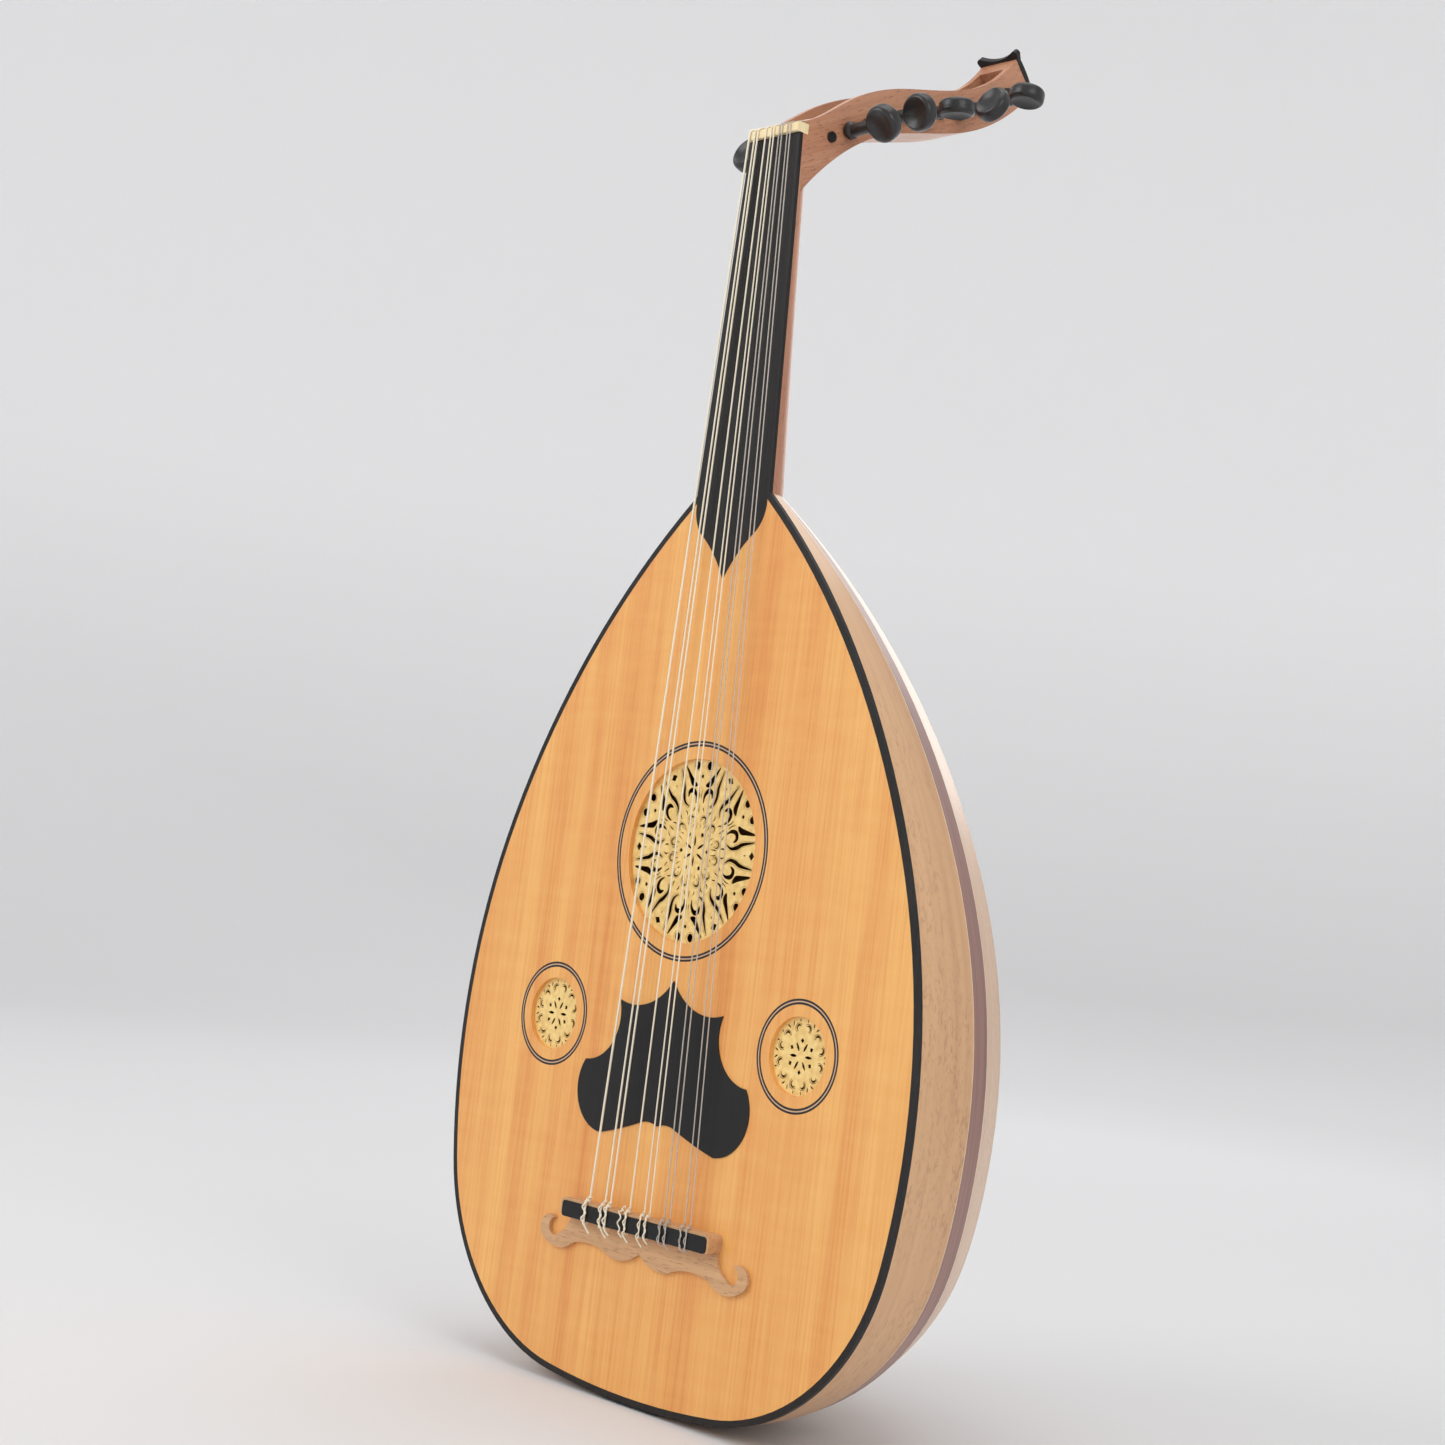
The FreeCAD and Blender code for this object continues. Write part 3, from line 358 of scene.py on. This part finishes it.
# Black trim: ebony binding round the soundboard's rim, fingerboard, tail cap, pegbox cap, pickguard and
# tie plate. Close-grained and rubbed to a satin shine, with faint brown streaks.
ebony = wood("ebony", srgb(36, 33, 32), srgb(22, 20, 20), 0.42, 700, 90, 0.6, 0.6, relief=0.00002)[0]
ebony_veneer = wood("ebony_veneer", srgb(28, 27, 28), srgb(19, 18, 19), 0.5, 900, 50, 0.5, 0.5,
                    relief=0.00001)[0]
for material in (ebony, ebony_veneer):
    material.node_tree.nodes["Principled BSDF"].inputs["Specular IOR Level"].default_value = 0.3
for name in ("edge_binding", "fingerboard", "tail_cap", "pegbox_cap"):
    dressed(name, ebony)
for name in ("pickguard", "bridge_tie_plate"):
    dressed(name, ebony_veneer)


# Neck and pegbox: red-brown hardwood with short dark pores, the pegbox's grain running along it.
def pored(material_parts, pore_colour):
    """Adds the short dark pores of an open-grained hardwood."""
    material, tree, shader, figure, lay = material_parts
    pore_stretch = tree.nodes.new("ShaderNodeMapping")
    pore_stretch.inputs["Scale"].default_value = (1.0, 1.0, 0.12)
    pores = tree.nodes.new("ShaderNodeTexNoise")
    pores.inputs["Scale"].default_value = 1500.0
    pores.inputs["Detail"].default_value = 1.0
    pore_edge = tree.nodes.new("ShaderNodeMapRange")
    pore_edge.inputs["From Min"].default_value = 0.6
    pore_edge.inputs["From Max"].default_value = 0.72
    pore_edge.inputs["To Max"].default_value = 0.6
    pore_tint = tree.nodes.new("ShaderNodeMix")
    pore_tint.data_type = "RGBA"
    pore_tint.inputs["B"].default_value = pore_colour
    tree.links.new(lay.outputs["Vector"], pore_stretch.inputs["Vector"])
    tree.links.new(pore_stretch.outputs["Vector"], pores.inputs["Vector"])
    tree.links.new(pores.outputs["Fac"], pore_edge.inputs["Value"])
    tree.links.new(pore_edge.outputs[0], pore_tint.inputs["Factor"])
    tree.links.new(figure.outputs["Color"], pore_tint.inputs["A"])
    tree.links.new(pore_tint.outputs["Result"], shader.inputs["Base Color"])
    return material


neck_wood = pored(wood("neck_wood", srgb(196, 138, 104), srgb(160, 100, 70), 0.42, 420, 70, 0.4, 0.5, coat=0.15),
                  srgb(110, 62, 42))
pegbox_wood = pored(wood("pegbox_wood", srgb(199, 142, 108), srgb(163, 104, 74), 0.45, 420, 60, 0.4, 0.5,
                         turn=(63, 0, 0), coat=0.12), srgb(112, 64, 44))
dressed("neck", neck_wood)
for name in ("pegbox_left_cheek", "pegbox_right_cheek", "pegbox_back", "pegbox_end_block"):
    dressed(name, pegbox_wood)


# Nut: polished cream bone across the end of the fingerboard.
bone, tree, shader = new_material("bone", 0.3)
bone_place = tree.nodes.new("ShaderNodeTexCoord")
bone_cloud = tree.nodes.new("ShaderNodeTexNoise")
bone_cloud.inputs["Scale"].default_value = 190.0
bone_cloud.inputs["Detail"].default_value = 4.0
bone_tone = tree.nodes.new("ShaderNodeValToRGB")
bone_tone.color_ramp.elements[0].position = 0.3
bone_tone.color_ramp.elements[0].color = srgb(240, 216, 164)
bone_tone.color_ramp.elements[1].position = 0.7
bone_tone.color_ramp.elements[1].color = srgb(252, 232, 188)
tree.links.new(bone_place.outputs["Object"], bone_cloud.inputs["Vector"])
tree.links.new(bone_cloud.outputs["Fac"], bone_tone.inputs["Fac"])
tree.links.new(bone_tone.outputs["Color"], shader.inputs["Base Color"])
shader.inputs["Subsurface Weight"].default_value = 0.08
shader.inputs["Subsurface Radius"].default_value = (0.002, 0.0015, 0.001)
dressed("nut", bone)


# Inlaid rings: two black lines with a pale one between them, let in flush round each sound hole.
ring_width = 0.0029
for name in ("main_rosette_ring", "left_rosette_ring", "right_rosette_ring"):
    low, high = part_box(name)
    centre = (Vector(low) + Vector(high)) / 2
    inner = (high[0] - low[0]) / 2 - ring_width
    material, tree, shader = new_material(name + "_lines", 0.45)
    place = tree.nodes.new("ShaderNodeTexCoord")
    shift = tree.nodes.new("ShaderNodeMapping")
    shift.inputs["Location"].default_value = (-centre.x, 0, -centre.z)
    flat = tree.nodes.new("ShaderNodeVectorMath")
    flat.operation = "MULTIPLY"
    flat.inputs[1].default_value = (1, 0, 1)
    reach = tree.nodes.new("ShaderNodeVectorMath")
    reach.operation = "LENGTH"
    across = tree.nodes.new("ShaderNodeMapRange")
    across.inputs["From Min"].default_value = inner
    across.inputs["From Max"].default_value = inner + ring_width
    lines = tree.nodes.new("ShaderNodeValToRGB")
    lines.color_ramp.interpolation = "CONSTANT"
    lines.color_ramp.elements[0].color = srgb(24, 17, 14)
    lines.color_ramp.elements[1].position = 0.38
    lines.color_ramp.elements[1].color = srgb(204, 168, 138)
    last = lines.color_ramp.elements.new(0.62)
    last.color = srgb(24, 17, 14)
    tree.links.new(place.outputs["Object"], shift.inputs["Vector"])
    tree.links.new(shift.outputs["Vector"], flat.inputs[0])
    tree.links.new(flat.outputs[0], reach.inputs[0])
    tree.links.new(reach.outputs["Value"], across.inputs["Value"])
    tree.links.new(across.outputs[0], lines.inputs["Fac"])
    tree.links.new(lines.outputs["Color"], shader.inputs["Base Color"])
    dressed(name, material)


# Rosettes: thin cream plates carved right through with hooks, drops and leaves that repeat round the
# centre, glued behind the sound holes. Each window is a stroke that swells and tapers.
lattice_cream, tree, shader = new_material("lattice_cream", 0.42)
lattice_place = tree.nodes.new("ShaderNodeTexCoord")
lattice_cloud = tree.nodes.new("ShaderNodeTexNoise")
lattice_cloud.inputs["Scale"].default_value = 300.0
lattice_cloud.inputs["Detail"].default_value = 5.0
lattice_tone = tree.nodes.new("ShaderNodeValToRGB")
lattice_tone.color_ramp.elements[0].position = 0.3
lattice_tone.color_ramp.elements[0].color = srgb(230, 190, 112)
lattice_tone.color_ramp.elements[1].position = 0.65
lattice_tone.color_ramp.elements[1].color = srgb(250, 218, 144)
lattice_bump = tree.nodes.new("ShaderNodeBump")
lattice_bump.inputs["Strength"].default_value = 0.3
lattice_bump.inputs["Distance"].default_value = 0.0001
tree.links.new(lattice_place.outputs["Object"], lattice_cloud.inputs["Vector"])
tree.links.new(lattice_cloud.outputs["Fac"], lattice_tone.inputs["Fac"])
tree.links.new(lattice_tone.outputs["Color"], shader.inputs["Base Color"])
tree.links.new(lattice_cloud.outputs["Fac"], lattice_bump.inputs["Height"])
tree.links.new(lattice_bump.outputs["Normal"], shader.inputs["Normal"])


mm = 0.001


def stroke(marks, widest, swell=0.5):
    """Closed outline of a smooth stroke through a few marks, widest at a share of its length."""
    padded = [marks[0]] + list(marks) + [marks[-1]]
    spine = []
    per_span = 5
    for p0, p1, p2, p3 in zip(padded, padded[1:], padded[2:], padded[3:]):
        p0, p1, p2, p3 = Vector(p0), Vector(p1), Vector(p2), Vector(p3)
        for step in range(per_span):
            s = step / per_span
            spine.append(0.5 * (2 * p1 + (p2 - p0) * s + (2 * p0 - 5 * p1 + 4 * p2 - p3) * s ** 2
                                + (3 * p1 - p0 - 3 * p2 + p3) * s ** 3))
    spine.append(Vector(marks[-1]))
    count = len(spine) - 1
    left, right = [], []
    for index, point in enumerate(spine):
        way = (spine[min(index + 1, count)] - spine[max(index - 1, 0)]).normalized()
        share = index / count
        bulge = share / swell if share < swell else (1 - share) / (1 - swell)
        half = widest / 2 * (0.24 + 0.76 * math.sin(bulge * math.pi / 2))
        left.append((point.x - way.y * half, point.y + way.x * half))
        right.append((point.x + way.y * half, point.y - way.x * half))
    return left + right[::-1]


def hook(reach, offset, size, start, sweep, widest, swell=0.5):
    """Comma-shaped window: a stroke round part of a circle."""
    turns = [math.radians(start + sweep * step / 5) for step in range(6)]
    return stroke([(reach + size * math.cos(turn), offset + size * math.sin(turn)) for turn in turns],
                  widest, swell)


def drop(reach, radius, stretch_out=1.0, corners=12):
    """Round or oval window, or a diamond when it has four corners."""
    turns = [2 * math.pi * step / corners for step in range(corners)]
    return [(reach + radius * stretch_out * math.cos(turn), radius * math.sin(turn)) for turn in turns]


def swung(outline, degrees):
    """The outline turned about the rosette's centre."""
    cosine, sine = math.cos(math.radians(degrees)), math.sin(math.radians(degrees))
    return [(x * cosine - y * sine, x * sine + y * cosine) for x, y in outline]


def grown(outline, by):
    """The outline moved outwards, for the line cut round a window."""
    count = len(outline)
    area = sum(outline[i - 1][0] * outline[i][1] - outline[i][0] * outline[i - 1][1] for i in range(count))
    side = by if area > 0 else -by
    moved = []
    for index, (x, y) in enumerate(outline):
        way = (Vector(outline[(index + 1) % count]) - Vector(outline[index - 1])).normalized()
        moved.append((x + way.y * side, y - way.x * side))
    return moved


def carve_rosette(name, node, windows, paired, engraved):
    """Cream plate with windows repeated six times round its centre; paired ones are also mirrored."""
    low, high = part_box(node)
    centre = (Vector(low) + Vector(high)) / 2
    radius = (high[0] - low[0]) / 2
    thickness = 0.0006
    plate = bpy.data.curves.new(name, "CURVE")
    plate.dimensions = "2D"
    plate.fill_mode = "BOTH"
    bevel = 0.00012
    plate.extrude = thickness / 2 - bevel
    plate.bevel_depth = bevel
    plate.bevel_resolution = 1
    lines = bpy.data.curves.new(name + "_lines", "CURVE")
    lines.dimensions = "3D"
    lines.bevel_depth = 0.00016
    lines.bevel_resolution = 0

    def add_loop(curve, outline):
        loop = curve.splines.new("POLY")
        loop.points.add(len(outline) - 1)
        for place, (x, y) in zip(loop.points, outline):
            place.co = (x * mm, y * mm, 0, 1)
        loop.use_cyclic_u = True

    rim = 96
    add_loop(plate, drop(0, (radius - bevel) / mm, 1.0, rim))
    sets = [(outline, 1) for outline in windows + paired] + [(outline, -1) for outline in paired]
    engraved_sets = [(outline, side) for outline in engraved for side in (1, -1)]
    for fold in range(6):
        for curve, group in ((plate, sets), (lines, engraved_sets)):
            for outline, side in group:
                add_loop(curve, swung([(x, y * side) for x, y in outline], 60 * fold))
    pieces = []
    for curve, depth in ((plate, low[1] + thickness / 2), (lines, low[1] + 0.00004)):
        maker = bpy.data.objects.new(curve.name + "_maker", curve)
        scene.collection.objects.link(maker)
        bpy.context.view_layer.update()
        mesh = bpy.data.meshes.new_from_object(maker)
        mesh.name = curve.name
        bpy.data.objects.remove(maker)
        mesh.transform(Matrix.Translation((centre.x, depth, centre.z)) @ Matrix.Rotation(math.pi / 2, 4, "X"))
        pieces.append(mesh)
    return pieces


engraving, tree, shader = new_material("engraved_line", 0.6)
engraved_dust = tree.nodes.new("ShaderNodeTexNoise")
engraved_dust.inputs["Scale"].default_value = 500.0
engraved_tone = tree.nodes.new("ShaderNodeValToRGB")
engraved_tone.color_ramp.elements[0].color = srgb(132, 98, 52)
engraved_tone.color_ramp.elements[1].color = srgb(178, 140, 82)
engraved_place = tree.nodes.new("ShaderNodeTexCoord")
tree.links.new(engraved_place.outputs["Object"], engraved_dust.inputs["Vector"])
tree.links.new(engraved_dust.outputs["Fac"], engraved_tone.inputs["Fac"])
tree.links.new(engraved_tone.outputs["Color"], shader.inputs["Base Color"])


main_windows = [drop(10.2, 1.5, 1.1, 4), drop(44.4, 2.7, 0.8, 4), drop(39.2, 0.45, 2.2),
                swung(stroke([(2.4, 0), (5.2, 0), (8.4, 0)], 1.7), 30), swung(drop(40.2, 1.15), 30),
                swung(stroke([(20.4, 0), (22.6, 0), (25.4, 0)], 1.0, 0.4), 30),
                swung(stroke([(11.8, 0), (13.6, 0), (16.0, 0)], 0.7), 30)]
main_paired = [stroke([(32.0, 15.0), (34.6, 12.6), (38.6, 11.9), (46.0, 11.0)], 3.7, 0.36),
               stroke([(23.6, 10.2), (27.0, 12.0), (30.8, 11.4), (31.8, 8.4), (29.4, 6.2)], 3.0, 0.62),
               stroke([(24.4, 5.0), (28.2, 3.0), (33.0, 3.9), (36.6, 5.6), (46.0, 7.2)], 2.6, 0.6),
               hook(16.6, 4.3, 1.9, 120, -250, 1.35), swung(drop(46.2, 2.3, 1.1), 24),
               stroke([(12.6, 1.6), (14.8, 1.5), (18.0, 0.9)], 0.8),
               stroke([(20.0, 7.0), (21.2, 7.9), (22.0, 9.6)], 1.0),
               stroke([(20.2, 2.0), (22.0, 2.6), (23.8, 1.7)], 1.1),
               stroke([(11.9, 4.2), (13.2, 4.3), (14.0, 5.4)], 0.8),
               swung(stroke([(27.6, 1.2), (30.4, 0.8), (34.0, 1.5)], 0.95, 0.4), 30)]
main_engraved = [grown(main_paired[index], 0.4) for index in (2, 3)] + [swung(drop(46.2, 3.0, 1.05), 24)]
small_windows = [stroke([(2.8, 0), (5.2, 0), (7.8, 0)], 1.75), swung(drop(8.0, 1.45, 1.05, 4), 30)]
small_paired = [swung(hook(13.9, 3.0, 1.65, -55, 220, 1.35), 30),
                stroke([(16.0, 1.1), (17.2, 1.6), (18.6, 2.5)], 1.1, 0.6),
                swung(stroke([(16.9, 2.4), (17.8, 2.6), (18.9, 3.1)], 0.95, 0.6), 30)]
small_engraved = [swung(hook(13.9, 3.0, 2.6, -40, 190, 0.25), 30)]
for name, node, windows, paired, engraved in (
        ("main_rosette_lattice", "main_rosette", main_windows, main_paired, main_engraved),
        ("left_rosette_lattice", "left_rosette", small_windows, small_paired, small_engraved),
        ("right_rosette_lattice", "right_rosette", small_windows, small_paired, small_engraved)):
    meshes = carve_rosette(name, node, windows, paired, engraved)
    for mesh, material in zip(meshes, (lattice_cream, engraving)):
        mesh.materials.append(material)
        piece = bpy.data.objects.new(mesh.name, mesh)
        scene.collection.objects.link(piece)
        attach(piece, "instrument")
        if material is lattice_cream:
            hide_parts(node)


# Bridge: pale brown hardwood, its foot carved into a scalloped moustache with curled ends, glued to the
# soundboard. Its grain runs across the instrument.
bridge_wood = pored(wood("bridge_wood", srgb(214, 170, 124), srgb(182, 134, 92), 0.5, 420, 60, 0.4, 0.4,
                         turn=(0, 90, 0)), srgb(140, 94, 60))
dressed("bridge", bridge_wood)


# Strings: the bass single and the three next pairs are overspun silk, cream and matt; the two treble
# pairs are clear nylon. Each is tied round the bridge, crosses the nut and winds on its own peg.
def string_finish(name, low, high, roughness, transmission):
    material, tree, shader = new_material(name, roughness)
    place = tree.nodes.new("ShaderNodeTexCoord")
    winding = tree.nodes.new("ShaderNodeTexWave")
    winding.bands_direction = "Z"
    winding.inputs["Scale"].default_value = 900.0
    winding.inputs["Distortion"].default_value = 0.4
    # Painted shade and painted highlight: the colour follows the winding's bands, darker in the grooves between the
    # turns and lighter on their crests, in step with the bump.
    tone = tree.nodes.new("ShaderNodeValToRGB")
    tone.color_ramp.elements[0].color = low
    tone.color_ramp.elements[1].color = high
    bump = tree.nodes.new("ShaderNodeBump")
    bump.inputs["Strength"].default_value = 0.2
    bump.inputs["Distance"].default_value = 0.00003
    tree.links.new(place.outputs["Object"], winding.inputs["Vector"])
    tree.links.new(winding.outputs["Fac"], tone.inputs["Fac"])
    tree.links.new(tone.outputs["Color"], shader.inputs["Base Color"])
    tree.links.new(winding.outputs["Fac"], bump.inputs["Height"])
    tree.links.new(bump.outputs["Normal"], shader.inputs["Normal"])
    shader.inputs["Transmission Weight"].default_value = transmission
    return material


# For each string, the first colour is the painted shade in the winding's grooves and the second the painted
# highlight on its crests.
silk_string = string_finish("overspun_string", srgb(226, 212, 184), srgb(255, 248, 228), 0.45, 0.0)
clear_string = string_finish("clear_nylon", srgb(206, 196, 184), srgb(232, 224, 214), 0.2, 0.35)
for course in range(1, 7):
    dressed("course_%d" % course, silk_string if course <= 4 else clear_string)

course_members = (1, 2, 2, 2, 2, 2)
gauges = (0.00062, 0.00052, 0.00046, 0.0004, 0.00036, 0.00032)
bridge_pitch, bridge_pair, bridge_shift = 0.0158, 0.0043, 0.0011
nut_pitch, nut_pair, nut_shift = 0.0063, 0.0023, -0.00285
single_shift = 0.001
string_list = []
for course, members in enumerate(course_members):
    for member in range(members):
        place = course - 2.5
        split = member - 0.5 if members == 2 else 0.0
        single = single_shift if members == 1 else 0.0
        string_list.append({"course": course, "gauge": gauges[course],
                            "bridge_x": bridge_shift + place * bridge_pitch + split * bridge_pair + single,
                            "nut_x": nut_shift + place * nut_pitch + split * nut_pair + single})


def cord_piece(name, points, radius, material, body, closed_ends=True):
    """Round strand through a list of points, as a mesh at the origin."""
    curve = bpy.data.curves.new(name, "CURVE")
    curve.dimensions = "3D"
    curve.bevel_depth = radius
    curve.bevel_resolution = 2
    curve.use_fill_caps = closed_ends
    strand = curve.splines.new("NURBS")
    strand.points.add(len(points) - 1)
    for place, point in zip(strand.points, points):
        place.co = (*point, 1)
    strand.order_u = 3
    strand.use_endpoint_u = True
    strand.resolution_u = 4
    maker = bpy.data.objects.new(name + "_maker", curve)
    scene.collection.objects.link(maker)
    bpy.context.view_layer.update()
    mesh = bpy.data.meshes.new_from_object(maker)
    bpy.data.objects.remove(maker)
    mesh.name = name
    mesh.materials.clear()
    mesh.materials.append(material)
    for polygon in mesh.polygons:
        polygon.use_smooth = True
    piece = bpy.data.objects.new(name, mesh)
    scene.collection.objects.link(piece)
    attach(piece, body)
    return piece


# Ties: each string comes back over the tie plate, twists round itself and ends in a loose tail below
# the bridge, with a half hitch at the plate's upper edge.
plate_low, plate_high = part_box("bridge_tie_plate")
bridge_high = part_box("bridge")[1][2]
for number, string in enumerate(string_list):
    gauge = string["gauge"]
    clear = string["course"] > 3
    material, slot = (clear_string, "clear_string") if clear else (silk_string, "wound_string")
    x = string["bridge_x"]
    over = plate_low[1] - gauge - 0.0001
    top, bottom = bridge_high + gauge, plate_low[2] - gauge
    turns = 1.75
    steps = 16
    swing = gauge * 2.1
    lean = 0.6 * mm * math.sin(number * 2.3)
    points = []
    for step in range(steps + 1):
        share = step / steps
        angle = 2 * math.pi * turns * share + number * 0.9
        points.append((x + swing * math.cos(angle) + lean * share,
                       over - swing * 0.55 - swing * 0.45 * math.sin(angle),
                       top + (bottom - top) * share))
    end = points[-1]
    reach = (0.0052 if string["course"] == 0 else 0.0038) * (1 + 0.35 * math.sin(number * 1.7))
    if clear:
        reach *= 0.5
    points += [(end[0] + reach * 0.3, end[1] + 0.0006, end[2] - reach * 0.5),
               (end[0] + reach * 0.7, end[1] + 0.0016, end[2] - reach)]
    cord_piece("tie_%02d" % (number + 1), points, gauge * 0.9, material, "instrument")
    hitch_reach = gauge * 2.0
    hitch = []
    for step in range(13):
        angle = 2 * math.pi * step / 12 * 1.15 + 0.4
        hitch.append((x + hitch_reach * math.cos(angle), -0.0086 - hitch_reach * math.sin(angle),
                      top + 0.0008 + 0.0016 * step / 12))
    hitch.insert(0, (x - hitch_reach * 0.4, over - gauge, top - 0.0002))
    hitch.append((x + hitch_reach * 2.4, -0.0096, top + 0.0030))
    cord_piece("hitch_%02d" % (number + 1), hitch, gauge * 0.85, material, "instrument")


# Pegs: turned ebony with a taper through both cheeks, a collar and a round dished head. The string's
# turns lie on each shaft and go round with it.
peg_ebony = wood("peg_ebony", srgb(36, 34, 34), srgb(20, 19, 20), 0.34, 700, 110, 0.5, 0.6, turn=(0, 90, 0),
                 relief=0.00002, coat=0.15)[0]
for number in range(1, 12):
    dressed("peg_%02d" % number, peg_ebony)
peg_radius, peg_taper = 0.0036, 1 / 60
head_width, tip_width, pegbox_length = 0.0386, 0.027, 0.2
cheek_thickness, string_spread = 0.0046, 0.78
slope = math.radians(27)
nut_low, nut_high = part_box("nut")
nut_place = nut_low[2]
bass_pegs = [joint for joint in joints if joint["axis"][0] < 0]
treble_pegs = [joint for joint in joints if joint["axis"][0] > 0]
for number, string in enumerate(string_list):
    joint = bass_pegs[number] if number < len(bass_pegs) else treble_pegs[len(string_list) - 1 - number]
    side = joint["axis"][0]
    peg_y, peg_z = joint["pos_m"][1], joint["pos_m"][2]
    travel = peg_y * math.cos(slope) + (peg_z - nut_place) * math.sin(slope)
    half = head_width / 2 - (head_width - tip_width) / 2 / pegbox_length * travel
    inner = half - cheek_thickness
    gauge = string["gauge"]
    x = string["nut_x"] / (head_width / 2) * inner * string_spread
    shaft = peg_radius - (half - side * x) * peg_taper
    rise = math.atan2(peg_z - nut_place - 0.0055, peg_y)
    first = rise + math.pi / 2
    turns = 3.5
    steps = 56
    room = inner - abs(x) - gauge * 1.5
    way = 1 if x < 0 else -1
    pitch = 2.15 * gauge
    beside = x + way * 1.75 * gauge
    points = []
    for step in range(steps + 1):
        share = step / steps
        angle = first - 2 * math.pi * turns * share
        reach = shaft + gauge * 1.02
        points.append((beside + way * pitch * turns * share, peg_y + reach * math.cos(angle),
                       peg_z + reach * math.sin(angle)))
    clear = string["course"] > 3
    cord_piece("winding_%02d" % (number + 1), points, gauge, clear_string if clear else silk_string,
               joint["child"])
